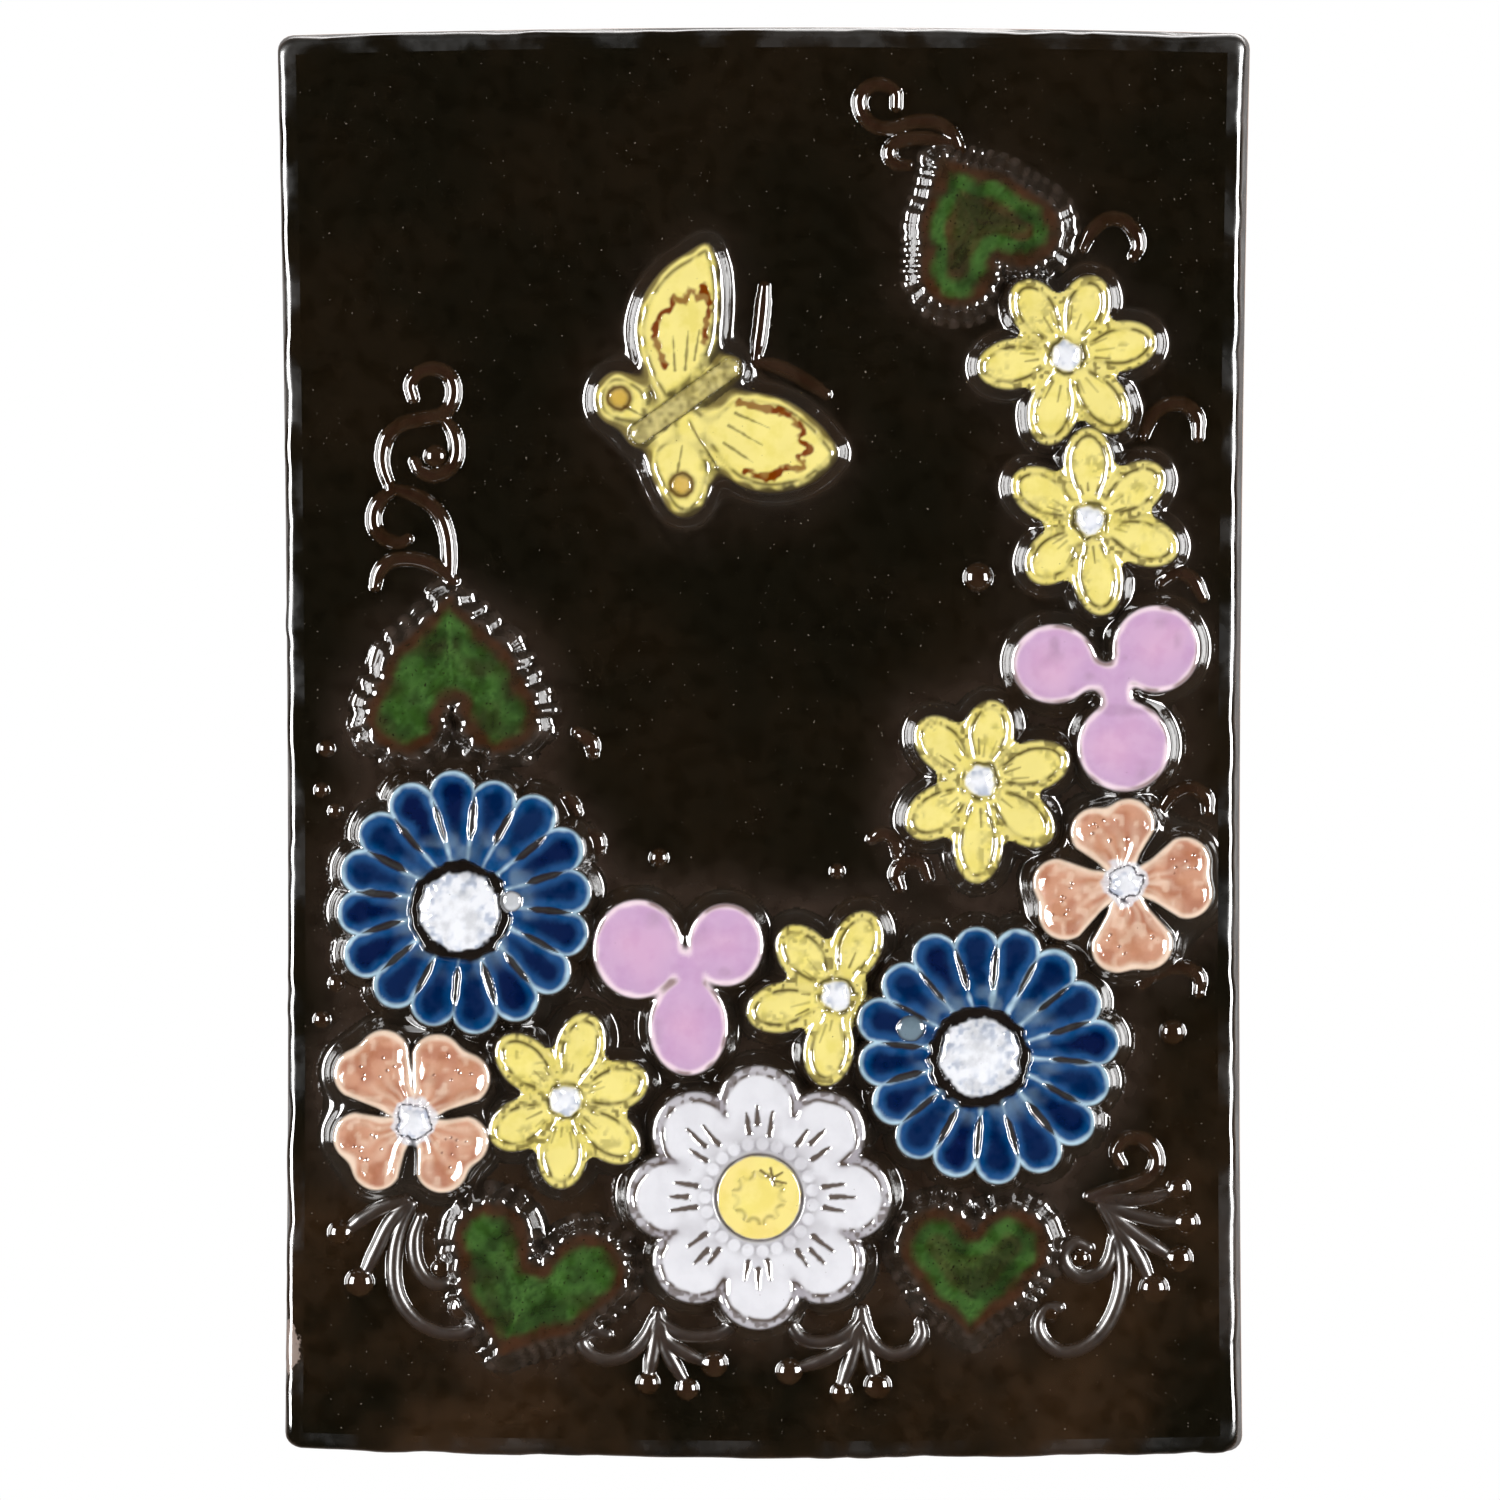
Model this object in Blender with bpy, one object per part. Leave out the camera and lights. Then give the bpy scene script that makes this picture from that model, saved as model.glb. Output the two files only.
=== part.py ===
"""Wall plaque of glazed ceramic with moulded flowers, leaves, a butterfly and scrolls.

Metres, +Z up. The front faces -Y, and the plaque hangs with its back against a wall.
The origin is the middle of the flat ceiling of the hanging slot in the back.
Sizes below are millimetres. Places on the face are (across, up) from its centre.
"""

import math

import bmesh
import bpy
import numpy as np
from mathutils import Vector

MM = 0.001

# The slab
HALF_WIDTH = 99.3
HALF_HEIGHT = 147.4
THICKNESS = 16.0
SIDE_FLARE = 1.3  # how much further out the sides stand at the corners than halfway up
TOP_FLARE = 0.5  # how much wider the top is than the bottom
END_BOW = 1.5  # how far the top and bottom edges bulge in the middle
CORNER_RADIUS = 3.2
SIDE_DRAFT = 1.0  # how far the sides lean in from back to front
EDGE_ROUND = 1.9  # rounding of the front edge
EDGE_TURNS = (0, 35, 65, 90)  # degrees round the front edge at which a ring of corners lies
BACK_ROUND = 0.9
CORNER_STEPS = 4
SIDE_STEPS = 8
END_STEPS = 8

# The back
BACK_RIM = 14.0
RECESS_DEPTH = 8.0
RECESS_DRAFT = 1.6
RECESS_CORNER = 9.0
SLOT_WIDTH = 12.0
SLOT_RISE = 7.0  # how far the hanging slot reaches into the top rim
SLOT_DEPTH = 7.0
SLOT_OVERLAP = 6.0  # how far the slot's cutter reaches down into the recess
CUTTER_OVERRUN = 2.0  # how far cutters stand out of the back

# The relief
WALL_RUN = 3.3  # how far a motif's wall spreads from its top edge to its foot
FOOT_SINK = 0.5  # how deep the foot is set into the slab
PETAL_HEIGHT = 5.0
PETAL_DISH = 0.7
RIM_WIDTH = 2.0
CREST_IN = 0.3  # how far a rim's crest lies inside the motif's edge
BLEND = 1.2  # how softly the shapes of one motif run into each other
CORE_DOME_RISE = 1.9
DOME_SIDES = 12
WIDE_DOME_SIDES = 16
DOME_TURNS = (0.3, 0.85)  # how far up its curve, in radians, a dome has a ring of corners
SEARCH_STEP = 0.4
SEARCH_HALVINGS = 8

YELLOW_WIDTH = 4.7  # half the width of a petal
YELLOW_WIDEST = 0.62  # how far along a petal its widest place is
YELLOW_CORE = 5.0
YELLOW_NECK = 2.4  # half the width of a petal at the core
YELLOW_SHOULDER = 0.6  # how far a petal's straight part stays inside its widest place
YELLOW_DOME = 3.4
YELLOW_SPREAD = (0, 0.17, 0.33, 0.5, 0.67, 0.83)  # corners, from one petal's middle to the next
YELLOW_FLOWERS = [
    ((62.9, 80.4), [(53.1, 95.0), (68.9, 96.2), (81.0, 83.5), (74.4, 65.4), (58.5, 62.5), (45.0, 77.5)]),
    ((67.7, 46.5), [(67.3, 65.2), (82.3, 56.9), (85.4, 40.0), (70.4, 27.5), (55.8, 34.8), (52.3, 55.4)]),
    ((45.2, -7.1), [(48.1, 9.2), (63.1, -1.9), (59.4, -19.0), (44.6, -27.7), (30.8, -17.3), (33.1, 5.0)]),
    ((15.8, -51.2), [(5.0, -37.7), (22.5, -34.4), (-2.3, -55.2), (13.1, -69.4)]),
    ((-40.2, -73.1), [(-53.3, -60.6), (-35.2, -55.4), (-23.5, -68.1), (-25.8, -84.4), (-41.2, -90.8),
                      (-55.2, -81.0)]),
]

# Junction, then each lobe's centre with its two half sizes, across and up
LILAC_HEIGHT = 4.8
LILAC_WEB = 3.0
LILAC_SPREAD = (0, 0.08, 0.16, 0.24, 0.31, 0.38, 0.5, 0.62, 0.69, 0.76, 0.84, 0.92)
LILAC_FLOWERS = [
    ((72.7, 13.7), [((60.4, 17.1), 8.3, 7.7), ((81.4, 20.2), 8.5, 8.5), ((74.8, 0.2), 9.1, 8.9)]),
    ((-14.2, -45.8), [((-25.2, -41.7), 8.8, 9.8), ((-7.1, -40.8), 7.3, 8.1), ((-14.8, -57.7), 7.7, 9.6)]),
]

SALMON_HEIGHT = 4.8
SALMON_ACROSS = 7.8
SALMON_LONG = 6.7
SALMON_DOME = 3.6
SALMON_SPREAD = (0, 0.13, 0.26, 0.39, 0.5, 0.61, 0.74, 0.87)
SALMON_FLOWERS = [
    ((75.0, -27.9), [(72.5, -17.3), (86.9, -26.9), (76.4, -40.2), (62.5, -31.0)]),
    ((-71.4, -77.3), [(-79.8, -66.2), (-64.2, -67.1), (-80.6, -83.3), (-63.9, -83.7)]),
]

BLUE_HEIGHT = 5.8
BLUE_RADIUS = 26.4
BLUE_PETALS = 16
BLUE_PETAL_END = 4.4  # radius of a petal's round end
BLUE_DISH = 1.3
BLUE_MOAT = 11.2
BLUE_DOME = 8.4
BLUE_DOME_RISE = 2.0
BLUE_TURN = 0.1
BLUE_SPREAD = (0, 0.3, 0.5, 0.7)
PETAL_GAP_FILL = 0.8
PETAL_PARTING = 1.6  # how deep round petals are parted, over the radius of a petal's end
BLUE_FLOWERS = [((-61.0, -32.1), (-61.9, -34.0)), ((46.7, -62.9), (45.2, -63.9))]

DAISY_CENTRE = (-0.2, -92.9)
DAISY_HEIGHT = 5.6
DAISY_RADIUS = 26.9
DAISY_PETALS = 8
DAISY_PETAL_END = 8.4
DAISY_DISC = 9.6
DAISY_DISC_RISE = 1.3
DAISY_MOAT = 3.0  # how far past the disc the petals are lowest
DAISY_SPREAD = (0, 0.16, 0.33, 0.5, 0.67, 0.84)

# Tip, then the centres of the two lobes
LEAF_HEIGHT = 4.2
LEAF_LOBE = 7.7
LEAF_KNEE = 5.8  # radius of the side where it bulges between lobe and tip
LEAF_KNEE_ALONG = 0.42  # how far towards the tip that place is
LEAF_KNEE_IN = 2.9  # how far further in than the lobe it lies
LEAF_MIDDLE = 5.4
LEAF_MIDDLE_ALONG = 0.33
LEAF_TIP = 1.1
LEAF_WALL = 4.3  # a leaf's wall spreads further than a flower's
LEAF_BUMPS = 16
LEAF_BUMP = 0.6
LEAVES = [
    ((37.5, 120.0), (40.6, 98.1), (53.7, 106.2)),
    ((-64.2, 29.8), (-73.7, 6.9), (-53.9, 7.3)),
    ((-53.1, -124.8), (-55.4, -102.1), (-35.8, -108.5)),
    ((43.3, -120.0), (36.7, -102.9), (51.7, -102.9)),
]

WING_HEIGHT = 4.2
WING_RIM = 0.5
WING_CREST_IN = 0.8
WING_STEP = 0.13  # every other wing is this much higher
WINGS = [
    [(-10.6, 103.1), (-8.3, 97.1), (-8.1, 88.7), (-9.0, 82.1), (-11.9, 76.7), (-17.1, 72.1), (-20.4, 71.7),
     (-23.7, 77.9), (-25.4, 85.0), (-24.0, 91.9), (-19.8, 97.9), (-15.0, 101.2)],
    [(-23.3, 66.9), (-27.1, 65.8), (-31.2, 66.7), (-33.7, 69.6), (-33.5, 73.7), (-30.6, 76.7), (-26.7, 76.2),
     (-22.9, 72.9)],
    [(-3.7, 72.7), (4.6, 71.2), (10.4, 67.5), (14.0, 63.7), (15.8, 59.8), (11.0, 54.8), (4.8, 52.7),
     (-0.8, 52.9), (-5.6, 55.0), (-9.8, 59.6), (-12.1, 65.0), (-8.3, 70.4)],
    [(-9.8, 58.5), (-10.4, 53.3), (-12.3, 49.2), (-15.0, 47.5), (-18.3, 48.7), (-21.2, 53.7), (-22.9, 59.2),
     (-20.0, 63.7), (-14.2, 63.7)],
]
BODY_ENDS = ((-24.8, 64.4), (-6.2, 77.7))
BODY_HALF_WIDTH = 2.0
BODY_HEIGHT = 5.4

# Raised scrolls: the line along the top of each ridge
RIDGE_HALF_WIDTH = 1.4
RIDGE_HEIGHT = 1.5
RIDGE_TURN = math.radians(60)  # a new segment starts after this much bending
RIDGE_SPAN = 10.5  # most that a segment is long
RIDGE_FOOT = 1.25  # spread of the foot over the ridge's half width
RIDGE_FLAT = 0.5
RIDGE_TAPER = 0.6  # size of a ridge's ends
RIDGE_STEP = 0.07  # ridges differ in height by this, so that crossing ones don't share a face
RIDGE_LEVELS = 4
RIDGES = [
    [(-71.7, 71.7), (-72.3, 74.6), (-70.4, 77.1), (-67.5, 77.9), (-64.6, 76.7), (-63.3, 73.7), (-63.9, 70.4),
     (-66.0, 68.3), (-70.2, 67.5), (-74.4, 66.2), (-77.1, 63.7), (-78.1, 60.0), (-77.7, 56.7), (-76.4, 53.3)],
    [(-65.6, 67.9), (-63.3, 64.6), (-62.7, 60.6), (-63.9, 57.5), (-67.1, 55.8), (-70.2, 56.7), (-71.4, 58.7)],
    [(-75.4, 52.9), (-78.3, 51.0), (-79.8, 48.1), (-79.6, 45.0), (-77.5, 42.7), (-74.6, 41.9), (-72.9, 42.7)],
    [(-76.4, 53.3), (-72.9, 52.3), (-69.2, 50.6), (-66.4, 47.9), (-65.0, 44.6), (-64.4, 40.8), (-64.2, 33.6)],
    [(-63.2, 34.0), (-67.1, 37.1), (-70.2, 38.3), (-73.7, 38.7), (-76.9, 37.9), (-78.9, 35.6), (-79.6, 32.9)],
    [(27.9, 131.6), (27.7, 134.6), (25.0, 136.2), (22.1, 135.6), (20.4, 133.1), (21.0, 130.0), (23.3, 127.7),
     (26.7, 127.1), (30.0, 128.1), (33.3, 128.7), (36.7, 128.1), (39.4, 126.0), (41.2, 121.9)],
    [(38.6, 124.1), (34.6, 125.0), (30.4, 125.0), (27.5, 123.9), (26.5, 121.9), (27.9, 119.8), (30.6, 119.6)],
    [(66.2, 102.5), (67.9, 105.8), (70.8, 108.3), (74.2, 108.3), (76.9, 105.8), (77.7, 102.9), (76.7, 100.8)],
    [(78.7, 63.9), (80.4, 67.9), (83.3, 70.2), (87.1, 70.4), (89.8, 67.7), (90.0, 63.7)],
    [(82.5, 33.7), (85.4, 35.8), (88.7, 34.6), (91.0, 30.8)],
    [(82.7, -12.9), (85.0, -9.8), (88.7, -8.5), (91.7, -10.4), (92.1, -13.3)],
    [(78.5, -49.2), (82.5, -46.2), (87.1, -45.4), (90.4, -47.5), (90.4, -50.8)],
    [(74.4, -86.2), (73.3, -83.7), (75.0, -81.2), (78.3, -80.8), (81.0, -82.9), (81.7, -86.2), (80.0, -88.9),
     (76.2, -90.6), (71.7, -91.7), (67.9, -92.9)],
    [(68.8, -93.3), (75.6, -93.7), (80.8, -93.1), (84.6, -91.9)],
    [(69.8, -93.7), (75.6, -96.2), (81.9, -97.9), (86.0, -98.3)],
    [(70.4, -94.6), (75.6, -99.2), (80.8, -102.9), (84.6, -105.2)],
    [(70.4, -95.2), (75.0, -100.8), (78.3, -106.0), (80.2, -110.0)],
    [(70.0, -93.7), (72.9, -99.2), (74.6, -105.0), (74.6, -111.2), (72.9, -117.1), (70.0, -121.6),
     (65.8, -124.6), (61.7, -125.0), (58.3, -122.5), (57.3, -119.1), (58.9, -116.2), (61.7, -116.0)],
    [(72.9, -101.9), (72.1, -106.0), (70.0, -108.7), (66.2, -109.6), (63.3, -107.5), (62.7, -104.6),
     (65.0, -102.5), (67.7, -103.5)],
    [(-73.5, -93.9), (-77.5, -95.2), (-81.7, -97.5), (-85.4, -100.2)],
    [(-73.1, -94.6), (-76.9, -99.2), (-79.6, -104.6), (-82.1, -109.6)],
    [(-72.3, -95.0), (-74.6, -99.8), (-75.8, -105.0), (-75.8, -111.2), (-74.2, -115.8), (-70.8, -119.6),
     (-66.0, -121.6), (-61.2, -121.6), (-57.9, -119.1), (-58.1, -116.0), (-60.4, -114.6)],
    [(-70.4, -97.7), (-71.7, -101.9), (-71.4, -106.6), (-69.6, -110.0), (-66.7, -111.6), (-63.7, -110.8),
     (-63.1, -107.9), (-65.0, -106.0)],
    [(-21.2, -117.1), (-19.6, -122.7), (-16.0, -125.4), (-11.7, -127.5)],
    [(-21.2, -117.5), (-19.6, -124.8), (-16.0, -131.2)],
    [(-21.2, -117.5), (-21.9, -123.7), (-23.1, -130.0)],
    [(-20.8, -118.7), (-17.1, -121.4), (-12.9, -122.1), (-8.7, -121.6), (-6.0, -120.0), (-6.0, -117.9)],
    [(-22.1, -118.7), (-24.0, -122.7), (-27.1, -125.8), (-31.7, -127.1), (-35.4, -125.8), (-37.1, -123.3),
     (-35.4, -121.2), (-31.7, -121.9)],
    [(20.8, -116.6), (20.0, -121.2), (14.6, -126.2), (7.9, -128.7)],
    [(20.8, -116.6), (19.4, -124.8), (16.9, -132.1)],
    [(21.0, -116.6), (22.1, -124.8), (23.7, -130.8)],
    [(20.4, -118.7), (17.3, -121.9), (12.5, -123.3), (8.5, -122.5), (6.5, -120.0), (7.3, -117.7)],
    [(21.5, -119.6), (23.5, -123.7), (27.3, -125.8), (31.2, -124.8), (33.3, -121.9), (33.1, -119.1)],
    [(-37.9, 2.9), (-35.0, 0.8), (-34.6, -1.7)],
    [(-41.1, -10.6), (-39.6, -11.2), (-37.9, -13.7)],
    [(-35.7, -17.9), (-33.7, -19.2), (-33.3, -21.7)],
    [(22.9, -19.2), (25.4, -17.9), (27.9, -19.6), (28.3, -22.5)],
    [(28.7, -29.2), (27.9, -26.2), (30.0, -23.7), (33.3, -24.2), (34.6, -27.1)],
    [(-1.0, 79.8), (-0.2, 84.6), (0.4, 89.8), (0.8, 94.6)],
    [(-1.0, 79.0), (3.3, 78.3), (8.5, 75.8), (13.5, 72.5)],
]
BALL_RISE = 0.8  # height of a ball over its radius
BALL_SIDES = 6
BALLS = [
    (-67.1, 59.8, 2.3), (44.8, 34.8, 2.9), (85.0, -58.9, 2.5), (86.2, -91.2, 2.3), (87.9, -98.3, 2.5),
    (86.4, -105.8, 2.7), (81.2, -111.9, 2.9), (60.0, -117.1, 1.7), (66.0, -105.8, 1.9), (-87.1, -101.0, 2.5),
    (-83.1, -111.2, 2.9), (-62.1, -116.4, 2.5), (-66.2, -108.3, 1.9), (-9.6, -127.9, 2.7),
    (-15.2, -133.1, 2.3), (-23.3, -131.9, 2.3), (6.0, -129.4, 2.7), (16.7, -133.7, 2.1), (24.2, -132.3, 2.7),
    (-89.8, -0.6, 1.7), (-90.8, -9.2, 1.5), (-87.9, -13.5, 1.5), (-87.7, -49.2, 1.7), (-90.8, -56.7, 1.7),
    (-21.0, -23.1, 1.9), (15.8, -25.8, 1.5),
]

GLAZE_COLOUR = (0.012, 0.008, 0.004)
GLAZE_ROUGHNESS = 0.12

# The origin on the face, worked out from the rim and the slot
SEAT_UP = HALF_HEIGHT + END_BOW - BACK_RIM + SLOT_RISE
BACK_Y = SLOT_DEPTH / 2


def to_world(u, v, h):
    """A place on the face, h above the back plane, in metres."""
    return Vector((u * MM, (BACK_Y - h) * MM, (v - SEAT_UP) * MM))


def add_object(name, mesh, collection):
    made = bpy.data.objects.new(name, mesh)
    collection.objects.link(made)
    return made


def loft(name, rings, collection, top=None):
    """Joins rings of (u, v, h) corners into one closed body, with an apex where top is given."""
    bm = bmesh.new()
    rows = [[bm.verts.new(to_world(*corner)) for corner in ring] for ring in rings]
    count = len(rows[0])
    for low, high in zip(rows, rows[1:]):
        for i in range(count):
            j = (i + 1) % count
            bm.faces.new((low[i], low[j], high[j], high[i]))
    bm.faces.new(list(reversed(rows[0])))
    if top is None:
        bm.faces.new(rows[-1])
    else:
        apex = bm.verts.new(to_world(*top))
        for i in range(count):
            bm.faces.new((rows[-1][i], rows[-1][(i + 1) % count], apex))
    bmesh.ops.recalc_face_normals(bm, faces=bm.faces)
    mesh = bpy.data.meshes.new(name)
    bm.to_mesh(mesh)
    bm.free()
    return add_object(name, mesh, collection)


def combine(body, tools, operation):
    """Cuts a collection of bodies from body, or joins them on, and stores the result as body's mesh."""
    step = body.modifiers.new(tools.name, "BOOLEAN")
    step.operation = operation
    step.solver = "EXACT"
    step.operand_type = "COLLECTION"
    step.collection = tools
    step.use_self = True
    bpy.context.view_layer.update()
    graph = bpy.context.evaluated_depsgraph_get()
    result = bpy.data.meshes.new_from_object(body.evaluated_get(graph))
    body.modifiers.clear()
    old = body.data
    body.data = result
    bpy.data.meshes.remove(old)


def keep_outer_shell(body):
    """Drops the tiny closed pockets left under crossing ridges."""
    bm = bmesh.new()
    bm.from_mesh(body.data)
    left = set(bm.verts)
    shells = []
    while left:
        shell = {left.pop()}
        edge = list(shell)
        while edge:
            vert = edge.pop()
            near = {link.other_vert(vert) for link in vert.link_edges} - shell
            shell |= near
            edge += near
        left -= shell
        shells.append(shell)
    shells.sort(key=len)
    inner = [vert for shell in shells[:-1] for vert in shell]
    bmesh.ops.delete(bm, geom=inner, context="VERTS")
    bm.to_mesh(body.data)
    bm.free()


def bowed(u, v):
    """Bends a place on a straight-sided slab to the plaque's flared and bulging edges."""
    across = u / HALF_WIDTH
    up = v / HALF_HEIGHT
    out_u = u + across * (SIDE_FLARE * up * up + TOP_FLARE * up)
    out_v = v + up * END_BOW * (1 - across * across)
    return out_u, out_v


def slab_loop(inset, radius):
    """The slab's outline, drawn in by inset, with its corners rounded."""
    half_u = HALF_WIDTH - inset
    half_v = HALF_HEIGHT - inset
    sides = [
        (1, 1, math.pi / 2, 0, 0, -1, SIDE_STEPS),
        (1, -1, 0, -math.pi / 2, -1, 0, END_STEPS),
        (-1, -1, -math.pi / 2, -math.pi, 0, 1, SIDE_STEPS),
        (-1, 1, math.pi, math.pi / 2, 1, 0, END_STEPS),
    ]
    corners = []
    for sign_u, sign_v, start, end, run_u, run_v, steps in sides:
        middle_u = sign_u * (half_u - radius)
        middle_v = sign_v * (half_v - radius)
        for i in range(CORNER_STEPS + 1):
            angle = start + (end - start) * i / CORNER_STEPS
            corners.append((middle_u + radius * math.cos(angle), middle_v + radius * math.sin(angle)))
        last_u, last_v = corners[-1]
        length = 2 * (half_u if run_u else half_v) - 2 * radius
        for i in range(1, steps):
            corners.append((last_u + run_u * length * i / steps, last_v + run_v * length * i / steps))
    return [bowed(u, v) for u, v in corners]


def slab_ring(inset, height):
    return [(u, v, height) for u, v in slab_loop(inset, CORNER_RADIUS)]


def make_slab(collection):
    rings = [slab_ring(BACK_ROUND, 0), slab_ring(0, BACK_ROUND)]
    for angle in EDGE_TURNS:
        turn = math.radians(angle)
        inset = SIDE_DRAFT + EDGE_ROUND * (1 - math.cos(turn))
        rings.append(slab_ring(inset, THICKNESS - EDGE_ROUND * (1 - math.sin(turn))))
    return loft("plaque", rings, collection)


def make_recess(collection):
    outer = slab_loop(BACK_RIM - RECESS_DRAFT / RECESS_DEPTH * CUTTER_OVERRUN, RECESS_CORNER)
    inner = slab_loop(BACK_RIM + RECESS_DRAFT, RECESS_CORNER)
    rings = [[(u, v, -CUTTER_OVERRUN) for u, v in outer], [(u, v, RECESS_DEPTH) for u, v in inner]]
    return loft("recess", rings, collection)


def make_slot(collection):
    half = SLOT_WIDTH / 2
    low = SEAT_UP - SLOT_RISE - SLOT_OVERLAP
    loop = [(-half, low), (half, low), (half, SEAT_UP), (-half, SEAT_UP)]
    rings = [[(u, v, h) for u, v in loop] for h in (-CUTTER_OVERRUN, SLOT_DEPTH)]
    return loft("hanging_slot", rings, collection)


def oval(p, centre, along, half_long, half_wide):
    """Distance from p to an oval whose long axis points along, less than zero inside."""
    direction = np.array(along) / np.hypot(*along)
    offset = p - np.array(centre)
    x = offset @ direction
    y = offset @ np.array([-direction[1], direction[0]])
    reach = np.hypot(x / half_long, y / half_wide)
    slope = np.hypot(x / half_long**2, y / half_wide**2)
    return reach * (reach - 1) / max(slope, 1e-6)


def rounded_line(p, start, end, start_radius, end_radius):
    """Distance from p to a straight bar with round ends of two radii."""
    start, end = np.array(start), np.array(end)
    run = end - start
    t = min(1.0, max(0.0, (p - start) @ run / (run @ run)))
    return np.hypot(*(p - start - run * t)) - (start_radius + (end_radius - start_radius) * t)


def join(distances, softness):
    """The smaller distance, with the inner corner between shapes filled."""
    value = distances[0]
    for other in distances[1:]:
        blend = max(softness - abs(value - other), 0) / softness
        value = min(value, other) - blend * blend * softness / 4
    return value


def reach_of(shape, centre, angle, offset, most):
    """How far out from centre the shape's edge, moved out by offset, lies at an angle."""
    direction = np.array([math.cos(angle), math.sin(angle)])
    start = np.array(centre)
    far = most
    while far > SEARCH_STEP and shape(start + direction * far) > offset:
        far -= SEARCH_STEP
    low, high = far, far + SEARCH_STEP
    for _ in range(SEARCH_HALVINGS):
        middle = (low + high) / 2
        if shape(start + direction * middle) > offset:
            high = middle
        else:
            low = middle
    return low


def search_reach(centre, places, radius):
    """A distance from centre that lies outside round shapes of this radius at these places."""
    return max(math.dist(centre, place) for place in places) + radius + 2 * WALL_RUN


def edge_ring(shape, centre, angles, offset, height, most):
    ring = []
    for angle in angles:
        r = reach_of(shape, centre, angle, offset, most)
        ring.append((centre[0] + r * math.cos(angle), centre[1] + r * math.sin(angle), THICKNESS + height))
    return ring


def spread_angles(directions, fractions):
    """Angles placed at fractions of the gap on each side of every direction, going round once."""
    turns = sorted(math.atan2(d[1], d[0]) % (2 * math.pi) for d in directions)
    angles = []
    for i, here in enumerate(turns):
        after = turns[(i + 1) % len(turns)] + (2 * math.pi if i + 1 == len(turns) else 0)
        angles += [here + (after - here) * fraction for fraction in fractions]
    return angles


def dome(name, centre, radius, base, rise, collection, sides=DOME_SIDES):
    """A low rounded boss: its foot is set into what it stands on."""
    rings = [round_ring(centre, radius, base - FOOT_SINK, sides)]
    for turn in DOME_TURNS:
        rings.append(round_ring(centre, radius * math.cos(turn), base + rise * math.sin(turn), sides))
    return loft(name, rings, collection, top=(centre[0], centre[1], THICKNESS + base + rise))


def round_ring(centre, radius, height, sides):
    ring = []
    for i in range(sides):
        angle = 2 * math.pi * (i + 0.5) / sides
        ring.append((centre[0] + radius * math.cos(angle), centre[1] + radius * math.sin(angle),
                     THICKNESS + height))
    return ring


def dished_motif(name, shape, centre, angles, height, most, collection):
    """A raised motif with a sloping wall, a rounded rim and a lower middle."""
    rings = [
        edge_ring(shape, centre, angles, WALL_RUN, -FOOT_SINK, most),
        edge_ring(shape, centre, angles, -CREST_IN, height, most),
        edge_ring(shape, centre, angles, -RIM_WIDTH, height - PETAL_DISH, most),
    ]
    top = (centre[0], centre[1], THICKNESS + height - PETAL_DISH)
    return loft(name, rings, collection, top=top)


def yellow_flower(name, centre, tips, collection):
    def shape(p):
        parts = [np.hypot(*(p - np.array(centre))) - YELLOW_CORE]
        for tip in tips:
            run = np.array(tip) - np.array(centre)
            length = np.hypot(*run)
            middle = np.array(centre) + run * YELLOW_WIDEST
            parts.append(oval(p, middle, run, (1 - YELLOW_WIDEST) * length, YELLOW_WIDTH))
            parts.append(rounded_line(p, centre, middle, YELLOW_NECK, YELLOW_WIDTH - YELLOW_SHOULDER))
        return join(parts, BLEND)

    directions = [(t[0] - centre[0], t[1] - centre[1]) for t in tips]
    angles = spread_angles(directions, YELLOW_SPREAD)
    most = search_reach(centre, tips, 0)
    body = dished_motif(name, shape, centre, angles, PETAL_HEIGHT, most, collection)
    boss = dome(name + "_dome", centre, YELLOW_DOME, PETAL_HEIGHT - PETAL_DISH, CORE_DOME_RISE, collection)
    return [body, boss]


def lilac_flower(name, centre, lobes, collection):
    def shape(p):
        parts = [oval(p, middle, (1, 0), half_u, half_v) for middle, half_u, half_v in lobes]
        parts += [rounded_line(p, centre, middle, LILAC_WEB, LILAC_WEB) for middle, _, _ in lobes]
        return join(parts, BLEND)

    directions = [(m[0] - centre[0], m[1] - centre[1]) for m, _, _ in lobes]
    angles = spread_angles(directions, LILAC_SPREAD)
    widest = max(max(half_u, half_v) for _, half_u, half_v in lobes)
    most = search_reach(centre, [middle for middle, _, _ in lobes], widest)
    return [dished_motif(name, shape, centre, angles, LILAC_HEIGHT, most, collection)]


def salmon_flower(name, centre, middles, collection):
    def shape(p):
        parts = [np.hypot(*(p - np.array(centre))) - SALMON_DOME]
        for middle in middles:
            run = np.array(middle) - np.array(centre)
            parts.append(oval(p, middle, (-run[1], run[0]), SALMON_ACROSS, SALMON_LONG))
        return join(parts, BLEND)

    directions = [(m[0] - centre[0], m[1] - centre[1]) for m in middles]
    angles = spread_angles(directions, SALMON_SPREAD)
    most = search_reach(centre, middles, max(SALMON_ACROSS, SALMON_LONG))
    body = dished_motif(name, shape, centre, angles, SALMON_HEIGHT, most, collection)
    boss = dome(name + "_dome", centre, SALMON_DOME, SALMON_HEIGHT - PETAL_DISH, CORE_DOME_RISE, collection)
    return [body, boss]


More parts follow.
